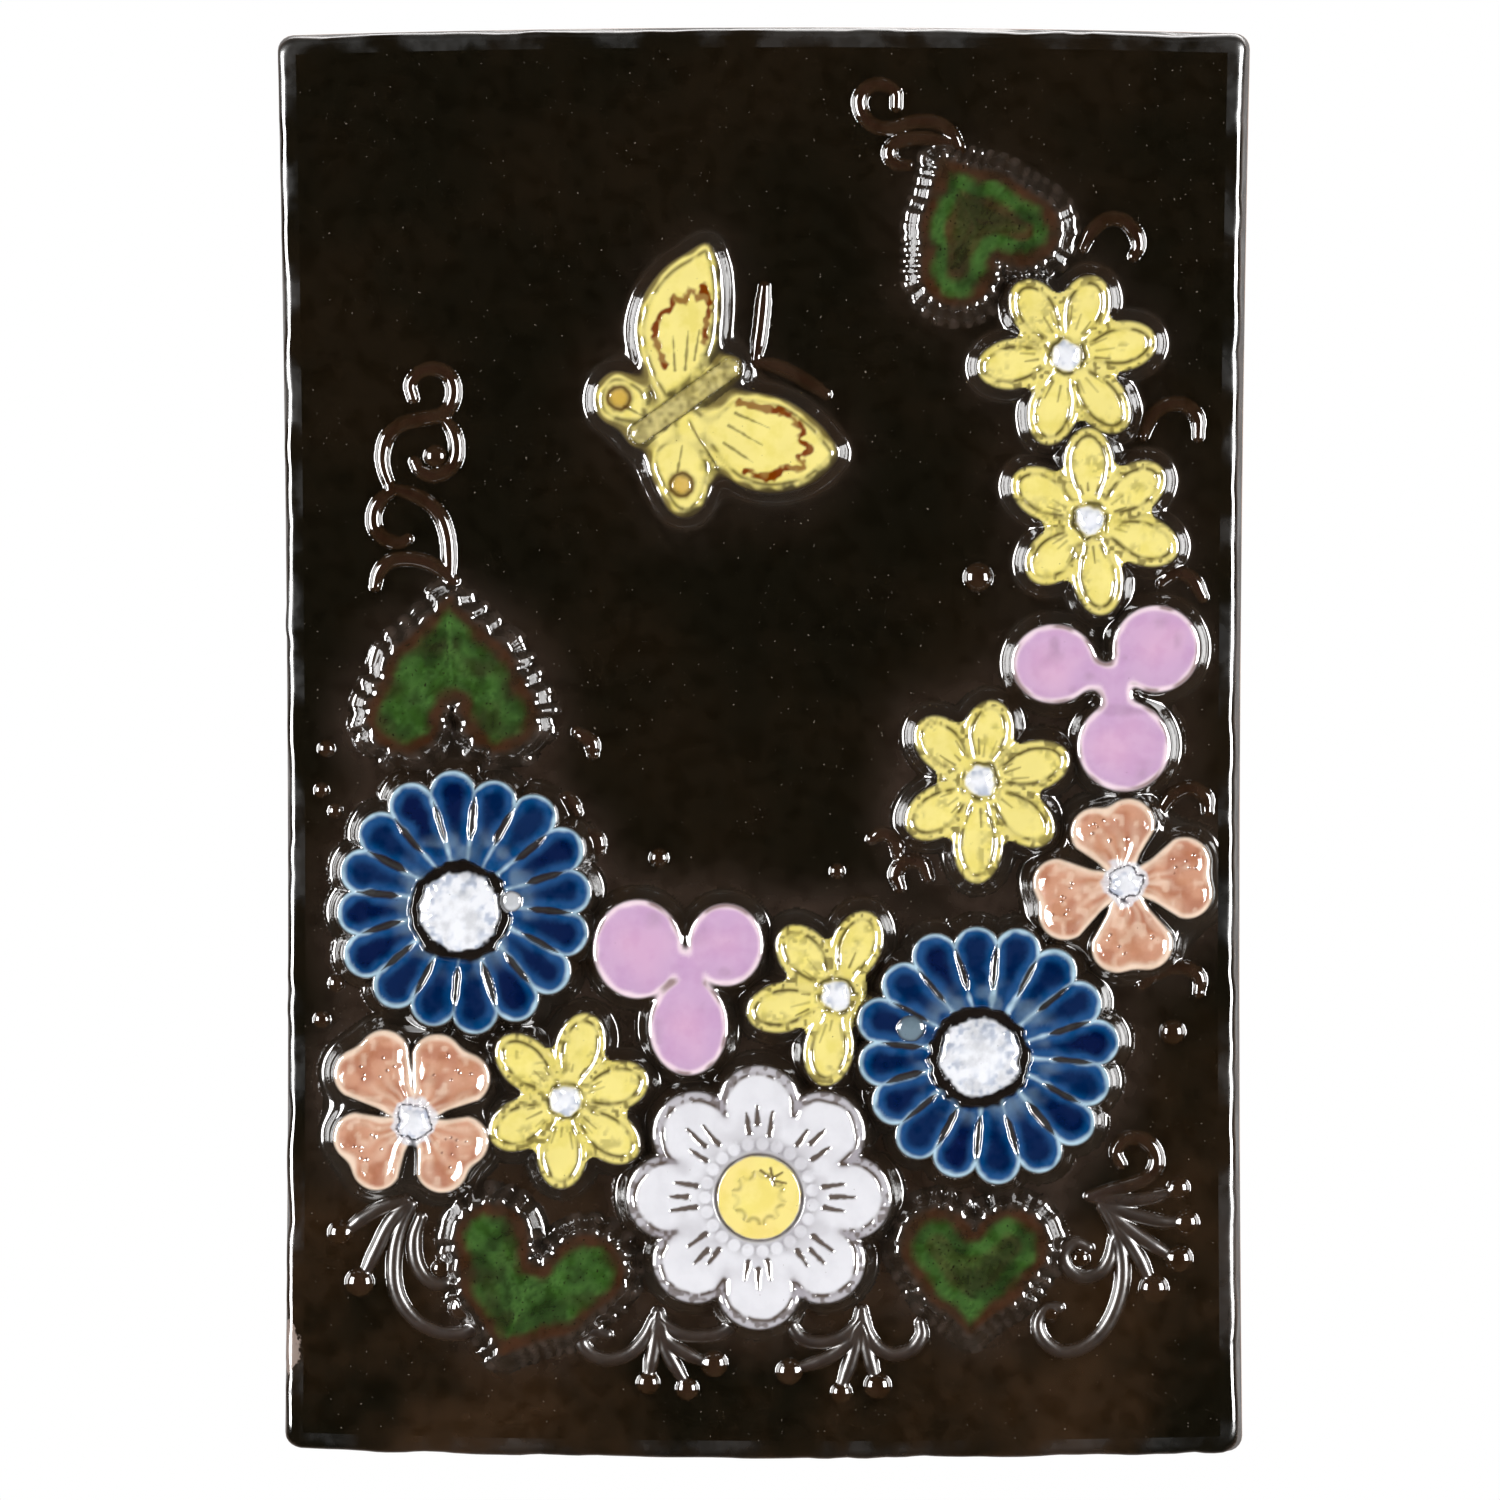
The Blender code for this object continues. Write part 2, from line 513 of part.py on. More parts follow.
def round_flower(name, centre, petals, radius, end, turn, height, dish, dish_radius, fractions, collection):
    """A flower whose petals go evenly round a disc, each ending in a round lobe."""
    directions = [
        (math.cos(turn + 2 * math.pi * i / petals), math.sin(turn + 2 * math.pi * i / petals))
        for i in range(petals)
    ]

    def shape(p):
        parts = [np.hypot(*(p - np.array(centre))) - (radius - PETAL_PARTING * end)]
        for d in directions:
            tip_centre = np.array(centre) + (radius - end) * np.array(d)
            parts.append(np.hypot(*(p - tip_centre)) - end)
        return join(parts, PETAL_GAP_FILL)

    angles = spread_angles(directions, fractions)
    most = radius + 2 * WALL_RUN
    floor = height - dish
    rings = [
        edge_ring(shape, centre, angles, WALL_RUN, -FOOT_SINK, most),
        edge_ring(shape, centre, angles, -CREST_IN, height, most),
        [(centre[0] + dish_radius * math.cos(a), centre[1] + dish_radius * math.sin(a), THICKNESS + floor)
         for a in angles],
    ]
    return loft(name, rings, collection, top=(centre[0], centre[1], THICKNESS + floor))


def leaf(name, tip, lobe_a, lobe_b, collection):
    """A heart with bulging sides and a crimped wall."""
    middle = (np.array(lobe_a) + np.array(lobe_b)) / 2
    to_tip = np.array(tip) - middle
    centre = middle + to_tip * LEAF_MIDDLE_ALONG
    halves = []
    for lobe in (np.array(lobe_a), np.array(lobe_b)):
        outward = (lobe - middle) / np.hypot(*(lobe - middle))
        halves.append((lobe, lobe + to_tip * LEAF_KNEE_ALONG - outward * LEAF_KNEE_IN))

    def shape(p):
        parts = [np.hypot(*(p - centre)) - LEAF_MIDDLE]
        for lobe, knee in halves:
            parts.append(rounded_line(p, lobe, knee, LEAF_LOBE, LEAF_KNEE))
            parts.append(rounded_line(p, knee, tip, LEAF_KNEE, LEAF_TIP))
        return join(parts, BLEND)

    most = search_reach(centre, (tip, lobe_a, lobe_b), LEAF_LOBE)
    start = math.atan2(to_tip[1], to_tip[0])
    count = 2 * LEAF_BUMPS
    angles = [start + 2 * math.pi * i / count for i in range(count)]
    foot, edge = [], []
    for i, angle in enumerate(angles):
        bump = LEAF_BUMP if i % 2 == 0 else -LEAF_BUMP
        foot += edge_ring(shape, centre, [angle], LEAF_WALL + bump, -FOOT_SINK, most)
        edge += edge_ring(shape, centre, [angle], bump / 2, LEAF_HEIGHT, most)
    dish = edge_ring(shape, centre, angles, -RIM_WIDTH, LEAF_HEIGHT - PETAL_DISH, most)
    top = (centre[0], centre[1], THICKNESS + LEAF_HEIGHT - PETAL_DISH)
    return loft(name, [foot, edge, dish], collection, top=top)


def smooth_line(points, closed, per_span):
    """A rounded curve through the points."""
    p = [np.array(q) for q in points]
    count = len(p)
    out = []
    spans = count if closed else count - 1
    for i in range(spans):
        a = p[i - 1] if closed or i else 2 * p[0] - p[1]
        b, c = p[i], p[(i + 1) % count]
        d = p[(i + 2) % count] if closed or i + 2 < count else 2 * p[-1] - p[-2]
        for k in range(per_span):
            t = k / per_span
            out.append(0.5 * (2 * b + (c - a) * t + (2 * a - 5 * b + 4 * c - d) * t**2
                              + (3 * b - a - 3 * c + d) * t**3))
    if not closed:
        out.append(p[-1])
    return out


def grown(loop, amount):
    """A loop moved out by amount, along the outward direction at each corner."""
    count = len(loop)
    area = sum(loop[i - 1][0] * loop[i][1] - loop[i][0] * loop[i - 1][1] for i in range(count))
    sign = 1 if area > 0 else -1
    out = []
    for i in range(count):
        run = loop[(i + 1) % count] - loop[i - 1]
        out.append(loop[i] + sign * amount * np.array([run[1], -run[0]]) / np.hypot(*run))
    return out


def wing(name, points, height, collection):
    loop = smooth_line(points, True, 2)
    middle = sum(loop) / len(loop)
    levels = ((WALL_RUN, -FOOT_SINK), (0, height - WING_RIM), (-WING_CREST_IN, height))
    rings = [[(*corner, THICKNESS + h) for corner in grown(loop, out)] for out, h in levels]
    return loft(name, rings, collection, top=(middle[0], middle[1], THICKNESS + height - WING_RIM))


def thinned(line):
    """Keeps the ends of a line and the corners where it has bent enough or run far enough."""
    kept = [line[0]]
    bent = 0.0
    for a, b, c in zip(line, line[1:], line[2:]):
        first, second = b - a, c - b
        angle = math.atan2(first[0] * second[1] - first[1] * second[0], first @ second)
        bent += abs(angle)
        if bent > RIDGE_TURN or np.hypot(*(c - kept[-1])) > RIDGE_SPAN:
            kept.append(b)
            bent = 0.0
    kept.append(line[-1])
    return kept


def ridge(name, points, half_width, height, collection):
    """A raised line with a flat-topped three-sided section, its foot set into the slab."""
    line = thinned(smooth_line(points, False, 4))
    rings = []
    last = len(line) - 1
    for i, here in enumerate(line):
        run = line[min(i + 1, last)] - line[max(i - 1, 0)]
        side = np.array([-run[1], run[0]]) / np.hypot(*run)
        size = RIDGE_TAPER if i in (0, last) else 1.0
        section = (
            (-RIDGE_FOOT, -FOOT_SINK),
            (-RIDGE_FLAT, height * size),
            (RIDGE_FLAT, height * size),
            (RIDGE_FOOT, -FOOT_SINK),
        )
        reach = side * half_width * size
        rings.append([(*(here + reach * across), THICKNESS + up) for across, up in section])
    return loft(name, rings, collection)


def make_material(name, color, roughness):
    material = bpy.data.materials.new(name)
    material.use_nodes = True
    shader = material.node_tree.nodes["Principled BSDF"]
    shader.inputs["Base Color"].default_value = (*color, 1)
    shader.inputs["Roughness"].default_value = roughness
    return material


def relief_bodies(tools):
    made = []
    for i, (centre, tips) in enumerate(YELLOW_FLOWERS):
        made += yellow_flower(f"yellow_flower_{i}", centre, tips, tools)
    for i, (centre, lobes) in enumerate(LILAC_FLOWERS):
        made += lilac_flower(f"lilac_flower_{i}", centre, lobes, tools)
    for i, (centre, middles) in enumerate(SALMON_FLOWERS):
        made += salmon_flower(f"salmon_flower_{i}", centre, middles, tools)
    for i, (centre, boss) in enumerate(BLUE_FLOWERS):
        floor = BLUE_HEIGHT - BLUE_DISH
        made.append(round_flower(f"blue_flower_{i}", centre, BLUE_PETALS, BLUE_RADIUS, BLUE_PETAL_END,
                                 BLUE_TURN, BLUE_HEIGHT, BLUE_DISH, BLUE_MOAT, BLUE_SPREAD, tools))
        made.append(dome(f"blue_dome_{i}", boss, BLUE_DOME, floor, BLUE_DOME_RISE, tools, WIDE_DOME_SIDES))
    made.append(round_flower("daisy", DAISY_CENTRE, DAISY_PETALS, DAISY_RADIUS, DAISY_PETAL_END, 0,
                             DAISY_HEIGHT, PETAL_DISH, DAISY_DISC + DAISY_MOAT, DAISY_SPREAD, tools))
    made.append(dome("daisy_disc", DAISY_CENTRE, DAISY_DISC, DAISY_HEIGHT - PETAL_DISH, DAISY_DISC_RISE,
                     tools, WIDE_DOME_SIDES))
    for i, (tip, lobe_a, lobe_b) in enumerate(LEAVES):
        made.append(leaf(f"leaf_{i}", tip, lobe_a, lobe_b, tools))
    for i, points in enumerate(WINGS):
        made.append(wing(f"wing_{i}", points, WING_HEIGHT + WING_STEP * (i % 2), tools))
    made.append(ridge("butterfly_body", BODY_ENDS, BODY_HALF_WIDTH, BODY_HEIGHT, tools))
    for i, points in enumerate(RIDGES):
        height = RIDGE_HEIGHT + RIDGE_STEP * (i % RIDGE_LEVELS)
        made.append(ridge(f"ridge_{i}", points, RIDGE_HALF_WIDTH, height, tools))
    for i, (u, v, r) in enumerate(BALLS):
        made.append(dome(f"ball_{i}", (u, v), r, 0, r * BALL_RISE, tools, BALL_SIDES))
    return made


def new_collection(name):
    made = bpy.data.collections.new(name)
    bpy.context.scene.collection.children.link(made)
    return made


def main():
    for old in list(bpy.data.objects):
        bpy.data.objects.remove(old)
    parts = new_collection("wall_plaque")
    cutters = new_collection("cutters")
    relief = new_collection("relief")
    plaque = make_slab(parts)
    make_recess(cutters)
    make_slot(cutters)
    combine(plaque, cutters, "DIFFERENCE")
    relief_bodies(relief)
    combine(plaque, relief, "UNION")
    keep_outer_shell(plaque)
    for tool in list(cutters.objects) + list(relief.objects):
        tool.hide_render = True
        tool.display_type = "WIRE"
    plaque.data.materials.clear()
    plaque.data.materials.append(make_material("dark_glaze", GLAZE_COLOUR, GLAZE_ROUGHNESS))


main()
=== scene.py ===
"""The looks of a glazed ceramic wall plaque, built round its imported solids.

Sizes are millimetres until a mesh is made. A place on the face is (across, up) from its centre,
and a height is counted from the plaque's back. The relief is a height field, worked out on a fine
grid and then meshed with small cells where it bends and large ones where it is plain.
"""

import math

import bmesh
import bpy
import numpy as np
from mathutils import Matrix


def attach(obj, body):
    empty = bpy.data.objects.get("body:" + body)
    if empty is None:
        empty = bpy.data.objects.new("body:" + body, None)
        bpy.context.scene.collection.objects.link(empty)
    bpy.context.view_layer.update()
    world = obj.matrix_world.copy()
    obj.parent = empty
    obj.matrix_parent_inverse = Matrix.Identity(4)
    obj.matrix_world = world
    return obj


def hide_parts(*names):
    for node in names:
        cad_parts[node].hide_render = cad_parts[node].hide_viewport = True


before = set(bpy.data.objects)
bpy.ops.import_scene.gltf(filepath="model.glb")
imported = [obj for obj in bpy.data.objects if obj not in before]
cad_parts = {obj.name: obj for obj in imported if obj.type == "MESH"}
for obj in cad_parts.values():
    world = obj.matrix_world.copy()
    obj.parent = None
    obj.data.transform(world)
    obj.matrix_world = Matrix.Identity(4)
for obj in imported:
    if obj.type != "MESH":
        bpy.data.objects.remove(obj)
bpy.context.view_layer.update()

MM = 0.001

# The slab, as in the solids
HALF_WIDTH = 99.3
HALF_HEIGHT = 147.4
THICKNESS = 16.0
SIDE_FLARE = 1.3
TOP_FLARE = 0.5
END_BOW = 1.5
CORNER_RADIUS = 3.2
SIDE_DRAFT = 1.0
EDGE_ROUND = 1.9
BACK_ROUND = 0.9
CORNER_STEPS = 5
ROUND_STEPS = 6
BACK_STEPS = 3
BACK_RIM = 14.0
RECESS_DEPTH = 8.0
RECESS_DRAFT = 1.6
RECESS_CORNER = 9.0
RECESS_EDGE = 0.6
SLOT_WIDTH = 12.0
SLOT_RISE = 7.0
SLOT_DEPTH = 7.0
SEAT_UP = HALF_HEIGHT + END_BOW - BACK_RIM + SLOT_RISE
BACK_Y = SLOT_DEPTH / 2

# The grid that carries the relief
MARGIN = 5.0  # plain margin between the grid and the plaque's edge
TOP_LEVEL = 5  # the largest cell is 2 to this power fine cells wide
EDGE_LEVEL = 3  # and so is the largest one along the grid's edge
GRID_ACROSS = 24  # largest cells
GRID_UP = 36
POCKET = 0.3  # the slab lies this far under the relief's surface
SHARP_ANGLE = math.radians(40)  # the slab's edges look sharp past this
HEIGHT_STEP = 0.03  # a cell is split where the height departs this much from flat
SLOPE_STEP = 0.16
COLOUR_STEP = 0.10

WALL_RUN = 3.3
WALL_MIDDLE = 0.42  # where a wall is half as high, as a share of its run
SHOULDER = 0.1  # how softly it bends at the top, and how much softer at the foot
FOOT = 0.055
WALL_DROP = 0.6  # past its run it falls this steeply, under what is there
FILLET = 0.6
GROUND_GLOSS = 0.06
FLOWER_REACH = 24  # how far a motif may spread from its centre, wall and all
LARGE_REACH = 31


def rgb(red, green, blue):
    """A colour from its 0 to 255 values, as linear light."""
    value = np.array([red, green, blue]) / 255
    return np.where(value <= 0.04045, value / 12.92, ((value + 0.055) / 1.055) ** 2.4)


GROUND = rgb(19, 16, 9)
GROUND_BROWN = rgb(52, 37, 24)
NEAR_BROWN = rgb(68, 55, 47)
RIDGE_BROWN = rgb(48, 30, 21)
WALL = rgb(46, 40, 34)
YELLOW = rgb(242, 227, 138)
YELLOW_SHADE = rgb(222, 207, 124)
OLIVE = rgb(92, 80, 42)
WHITE = rgb(226, 225, 230)
DOME_WHITE = rgb(238, 239, 244)
DOME_GREY = rgb(150, 164, 190)
LILAC = rgb(204, 168, 201)
LILAC_RIM = rgb(240, 218, 228)
LILAC_PINK = rgb(220, 176, 203)
SALMON = rgb(204, 151, 124)
SALMON_RIM = rgb(238, 212, 190)
SALMON_DEEP = rgb(176, 116, 92)
BLUE_DEEP = rgb(10, 22, 62)
BLUE_MID = rgb(36, 78, 128)
BLUE_RIM = rgb(182, 210, 226)
SLIT_BROWN = rgb(48, 38, 30)
DAISY_BAND = rgb(166, 161, 167)
STROKE = rgb(84, 70, 60)
LEAF_GREEN = rgb(60, 92, 42)
LEAF_DARK = rgb(38, 54, 26)
LEAF_RUST = rgb(76, 47, 31)
LEAF_BROWN = rgb(48, 38, 27)
WING_LINE = rgb(120, 58, 24)
BODY_OLIVE = rgb(204, 190, 124)


def bowed(u, v):
    """Bends a place on a straight-sided slab to the plaque's flared and bulging edges."""
    across = u / HALF_WIDTH
    up = v / HALF_HEIGHT
    out_u = u + across * (SIDE_FLARE * up * up + TOP_FLARE * up)
    out_v = v + up * END_BOW * (1 - across * across)
    return out_u, out_v


def to_world(u, v, h):
    """Places on the face with their heights, as an array of points in metres."""
    return np.stack([u * MM, (BACK_Y - h) * MM, (v - SEAT_UP) * MM], axis=-1)


def smooth(low, high, x):
    t = np.clip((x - low) / (high - low), 0, 1)
    return t * t * (3 - 2 * t)


def line_at(x, place, width):
    """A soft line: 1 where x is at place, and near 0 further off than width."""
    return np.exp(-(((x - place) / width) ** 2))


def blend(a, b, t):
    """Colours or numbers from a to b as t goes from 0 to 1."""
    if np.ndim(a) > np.ndim(t) or np.ndim(b) > np.ndim(t) or np.shape(a) == (3,) or np.shape(b) == (3,):
        t = np.asarray(t)[..., None]
    return a * (1 - t) + b * t


def join(distances, softness):
    """The smaller distance, with the inner corner between shapes filled."""
    value = distances[0]
    for other in distances[1:]:
        near = np.maximum(softness - np.abs(value - other), 0) / softness
        value = np.minimum(value, other) - near * near * softness / 4
    return value


def rise_together(a, b, softness):
    """The greater height, with a fillet where two slopes meet."""
    near = np.maximum(softness - np.abs(a - b), 0)
    return np.maximum(a, b) + near * near / (4 * softness)


# The grid
cells = 2 ** TOP_LEVEL
columns = GRID_ACROSS * cells
rows = GRID_UP * cells
straight_u, straight_v = np.meshgrid(
    np.linspace(-(HALF_WIDTH - MARGIN), HALF_WIDTH - MARGIN, columns + 1),
    np.linspace(-(HALF_HEIGHT - MARGIN), HALF_HEIGHT - MARGIN, rows + 1),
)
U, V = bowed(straight_u, straight_v)
height = np.zeros_like(U)
owner = np.zeros(U.shape, int)
tint = np.zeros(U.shape + (3,))
rough = np.full(U.shape, GROUND_GLOSS)
grain = np.zeros_like(U)  # how strongly the surface is stippled
piece_names = ["ground"]
PITCH_U = straight_u[0, 1] - straight_u[0, 0]
PITCH_V = straight_v[1, 0] - straight_v[0, 0]
BOW_ROOM = 3  # further than the bowed edges move the grid


def cloud_at(u, v, cell, seed):
    """Smooth random values from 0 to 1 at given places, about one hill for each cell of this size."""
    x = (u + 2 * HALF_WIDTH) / cell
    y = (v + 2 * HALF_HEIGHT) / cell
    size = int(5 * HALF_HEIGHT / cell) + 4
    lattice = np.random.default_rng(seed).random((size, size))
    i, j = np.floor(y).astype(int), np.floor(x).astype(int)
    s, t = y - i, x - j
    s, t = s * s * (3 - 2 * s), t * t * (3 - 2 * t)
    low = lattice[i, j] * (1 - t) + lattice[i, j + 1] * t
    high = lattice[i + 1, j] * (1 - t) + lattice[i + 1, j + 1] * t
    return low * (1 - s) + high * s


def cloud(cell, seed, win=np.s_[:, :]):
    """Smooth random values from 0 to 1 over the grid, or over a part of it."""
    return cloud_at(U[win], V[win], cell, seed)


def sway(cell, seed, win):
    """The same values, but from -0.5 to 0.5."""
    return cloud(cell, seed, win) - 0.5


def patches(low, high, cell, seed, win):
    """Soft random patches: 0 where a cloud is under low, and 1 where it is over high."""
    return smooth(low, high, cloud(cell, seed, win))


def window(centre, reach):
    """The part of the grid within reach of centre."""
    slices = []
    for at, first, pitch, count in ((centre[1], straight_v[0, 0], PITCH_V, rows),
                                    (centre[0], straight_u[0, 0], PITCH_U, columns)):
        low = int((at - reach - BOW_ROOM - first) / pitch)
        high = int((at + reach + BOW_ROOM - first) / pitch)
        slices.append(slice(max(low, 0), max(min(high, count + 1), 1)))
    return tuple(slices)


def centred(win, centre):
    """Coordinates from centre over a part of the grid, and the distance to it."""
    u, v = U[win] - centre[0], V[win] - centre[1]
    return u, v, np.hypot(u, v)


def oval(u, v, half_long, half_wide):
    """Distance to an oval centred on 0, its long axis along u."""
    reach = np.hypot(u / half_long, v / half_wide)
    slope = np.hypot(u / half_long**2, v / half_wide**2)
    return reach * (reach - 1) / np.maximum(slope, 1e-6)


def bar(u, v, start, end, start_radius, end_radius):
    """Distance to a straight bar with round ends of two radii."""
    run_u, run_v = end[0] - start[0], end[1] - start[1]
    t = ((u - start[0]) * run_u + (v - start[1]) * run_v) / (run_u**2 + run_v**2)
    t = np.clip(t, 0, 1)
    radius = start_radius + (end_radius - start_radius) * t
    return np.hypot(u - start[0] - run_u * t, v - start[1] - run_v * t) - radius


def wall(d, top, run=WALL_RUN):
    """Height of a moulded edge: it rounds over at the top and runs out in a hollow foot."""
    spread = run * (SHOULDER + FOOT * smooth(0.2 * run, 0.7 * run, d))
    return top / (1 + np.exp((d - WALL_MIDDLE * run) / spread)) - WALL_DROP * np.maximum(d - run, 0)


def new_piece(name):
    piece_names.append(name)
    return len(piece_names) - 1


def coated(colour, *coats):
    """A colour under further coats, each a colour and how much it covers."""
    for coat, share in coats:
        colour = blend(colour, coat, share)
    return colour


def lay(win, number, d, h, colour, gloss, edge=0.35):
    """Sets a motif on what is there: its own surface inside its edge, a fillet outside."""
    under = height[win]
    both = rise_together(under, h, FILLET)
    inside = smooth(edge, -edge, d)
    mine = (h > under - 0.02) & (h > 0.03) | (inside > 0.5)
    weight = np.maximum(smooth(-0.15, 0.25, h - under) * (h > -0.3), inside)
    height[win] = blend(both, h, inside)
    tint[win] = blend(tint[win], colour, weight)
    rough[win] = rough[win] * (1 - weight) + gloss * weight
    owner[win] = np.where(mine, number, owner[win])


def wall_colour(win):
    """Dark glaze on the moulded edges, thinner and greyer in places."""
    patch = cloud(5.0, 11, win)
    return blend(WALL, GROUND_BROWN, 0.6 * patch)


def dome_colour(win, reach, radius):
    """White glaze that has frothed, with grey specks near the dome's edge."""
    patch = 0.5 * cloud(0.8, 12, win) + 0.5 * cloud(1.7, 13, win)
    return blend(DOME_WHITE, DOME_GREY, 0.7 * smooth(0.45, 0.75, patch) * smooth(0.1, 0.9, reach / radius))


def turned(u, v, direction):
    """Coordinates along and across a direction."""
    return u * direction[0] + v * direction[1], v * direction[0] - u * direction[1]


def unit(run):
    return np.array(run) / math.hypot(*run)


def boss(u, v, radius, base, rise):
    """Height of a low dome of this radius."""
    return base + rise * np.sqrt(np.clip(1 - (u * u + v * v) / radius**2, 0, 1))


def smooth_line(points, closed, per_span):
    """A rounded curve through the points."""
    p = [np.array(q) for q in points]
    count = len(p)
    out = []
    for i in range(count if closed else count - 1):
        a = p[i - 1] if closed or i else 2 * p[0] - p[1]
        b, c = p[i], p[(i + 1) % count]
        d = p[(i + 2) % count] if closed or i + 2 < count else 2 * p[-1] - p[-2]
        for k in range(per_span):
            t = k / per_span
            out.append(0.5 * (2 * b + (c - a) * t + (2 * a - 5 * b + 4 * c - d) * t**2
                              + (3 * b - a - 3 * c + d) * t**3))
    if not closed:
        out.append(p[-1])
    return out


def line_distance(u, v, line):
    """Distance to a bent line, and how far along it the nearest place is, from 0 to 1."""
    best = np.full(u.shape, 1e9)
    along = np.zeros(u.shape)
    done = 0
    for a, b in zip(line, line[1:]):
        run = b - a
        length = math.hypot(*run)
        t = np.clip(((u - a[0]) * run[0] + (v - a[1]) * run[1]) / length**2, 0, 1)
        distance = np.hypot(u - a[0] - run[0] * t, v - a[1] - run[1] * t)
        closer = distance < best
        best = np.where(closer, distance, best)
        along = np.where(closer, done + t * length, along)
        done += length
    return best, along / done


def loop_distance(u, v, loop):
    """Distance to a closed outline, less than zero inside, and how far round the nearest place is."""
    best, turn = line_distance(u, v, loop + [loop[0]])
    inside = np.zeros(u.shape, bool)
    for a, b in zip(loop, loop[1:] + [loop[0]]):
        crosses = (a[1] > v) != (b[1] > v)
        rise = b[1] - a[1] if abs(b[1] - a[1]) > 1e-9 else 1e-9
        at = a[0] + (v - a[1]) * (b[0] - a[0]) / rise
        inside ^= crosses & (u < at)
    return np.where(inside, -best, best), turn


# Yellow flowers: the centre, then the petals' tips
PETAL_HEIGHT = 5.0
YELLOW_WIDTH = 4.7
YELLOW_DOME = 3.2
YELLOW_FLOWERS = [
    ((62.9, 80.4), [(53.1, 95.0), (68.9, 96.2), (81.0, 83.5), (74.4, 65.4), (58.5, 62.5), (45.0, 77.5)]),
    ((67.7, 46.5), [(67.3, 65.2), (82.3, 56.9), (85.4, 40.0), (70.4, 27.5), (55.8, 34.8), (52.3, 55.4)]),
    ((45.2, -7.1), [(48.1, 9.2), (63.1, -1.9), (59.4, -19.0), (44.6, -27.7), (30.8, -17.3), (33.1, 5.0)]),
    ((15.8, -51.2), [(5.0, -37.7), (22.5, -34.4), (-2.3, -55.2), (13.1, -69.4)]),
    ((-40.2, -73.1), [(-53.3, -60.6), (-35.2, -55.4), (-23.5, -68.1), (-25.8, -84.4), (-41.2, -90.8),
                      (-55.2, -81.0)]),
]


def yellow_flower(number, centre, tips):
    win = window(centre, FLOWER_REACH)
    random = np.random.default_rng(100 + number)
    u, v, r = centred(win, centre)
    petals = []
    strokes = np.zeros_like(u)
    for tip in tips:
        run = (tip[0] - centre[0], tip[1] - centre[1])
        length = math.hypot(*run)
        x, y = turned(u, v, unit(run))
        middle = 0.62 * length
        petals.append(join([oval(x - middle, y, 0.38 * length, YELLOW_WIDTH),
                            bar(x, y, (0, 0), (middle, 0), 2.2, YELLOW_WIDTH - 0.6)], 1.2))
        for side in (-1, 0, 1):
            start = 5.2 + 1.4 * random.random()
            end = start + 1.2 + 2.6 * random.random()
            slant = side * 0.26 + 0.12 * (random.random() - 0.5)
            mark = bar(x, y, (start, start * slant), (end, end * slant), 0.22, 0.08)
            strokes = np.maximum(strokes, smooth(0.25, -0.12, mark) * (0.4 + 0.6 * random.random()))
    nearest = np.min(petals, axis=0)
    d = join(petals + [r - 4.6], 1.2)
    web = join(petals + [r - 4.6], 6.0)
    inner = -nearest
    broken = patches(0.25, 0.6, 1.7, 21 + number, win)
    contour = np.zeros_like(u)
    for petal in petals:
        ahead = smooth(-1.6, 0.2, nearest - petal + 0.4)
        contour = np.maximum(contour, line_at(-petal, 1.3, 0.42) * ahead)
    groove = contour * (0.25 + 0.75 * broken) * smooth(4.6, 6.4, r)
    ledge = 0.12 * line_at(inner, 0.5, 0.45) - 0.25 * smooth(0.7, 1.7, inner) + 0.2 * smooth(1.6, 3.6, inner)
    top = ledge - 0.32 * groove - 0.15 * strokes - 1.2 * smooth(0.0, 2.2, nearest)
    top = top - 0.5 * smooth(7.8, 4.0, r) + 0.15 * sway(2.4, 24, win)
    h = wall(d, PETAL_HEIGHT) + top * smooth(1.2, -0.4, d)
    ring_width = 0.35 + 0.35 * cloud(1.6, 25 + number, win)
    ragged = r + 1.1 * sway(1.5, 26 + number, win)
    moat = line_at(ragged, YELLOW_DOME + 0.4, ring_width) * (0.25 + 0.75 * broken)
    h = h - 0.7 * moat
    froth = cloud(0.8, 27, win)
    dome = boss(ragged, 0, YELLOW_DOME, PETAL_HEIGHT - 0.9, 2.1) + 0.22 * (froth - 0.5)
    h = np.where(ragged < YELLOW_DOME, np.maximum(dome, h), h)
    shade = cloud(5.0, 5, win)
    worn = patches(0.5, 0.85, 2.6, 34 + number, win) * patches(0.35, 0.7, 0.7, 35, win)
    speck = patches(0.58, 0.78, 0.9, 33, win)
    edge = smooth(-0.25, 0.6, np.where(web < -0.3, web, d))
    white = smooth(YELLOW_DOME + 0.15, YELLOW_DOME - 0.45, ragged)
    colour = coated(YELLOW, (YELLOW_SHADE, 0.5 * shade + 0.4 * smooth(1.9, 0.6, inner)),
                    (OLIVE, 0.38 * worn), (OLIVE, 0.95 * groove), (OLIVE, 0.8 * strokes),
                    (OLIVE, 0.75 * speck * smooth(2.4, 0.2, inner)), (wall_colour(win), edge),
                    (OLIVE * 0.6, 0.9 * moat), (dome_colour(win, ragged, YELLOW_DOME), white))
    lay(win, number, d, h, colour, 0.09)


# Lilac flowers: junction, then each lobe's centre with its two half sizes, across and up
LILAC_HEIGHT = 4.8
LILAC_WEB = 3.0
LILAC_FLOWERS = [
    ((72.7, 13.7), [((60.4, 17.1), 8.3, 7.7), ((81.4, 20.2), 8.5, 8.5), ((74.8, 0.2), 9.1, 8.9)]),
    ((-14.2, -45.8), [((-25.2, -41.7), 8.8, 9.8), ((-7.1, -40.8), 7.3, 8.1), ((-14.8, -57.7), 7.7, 9.6)]),
]


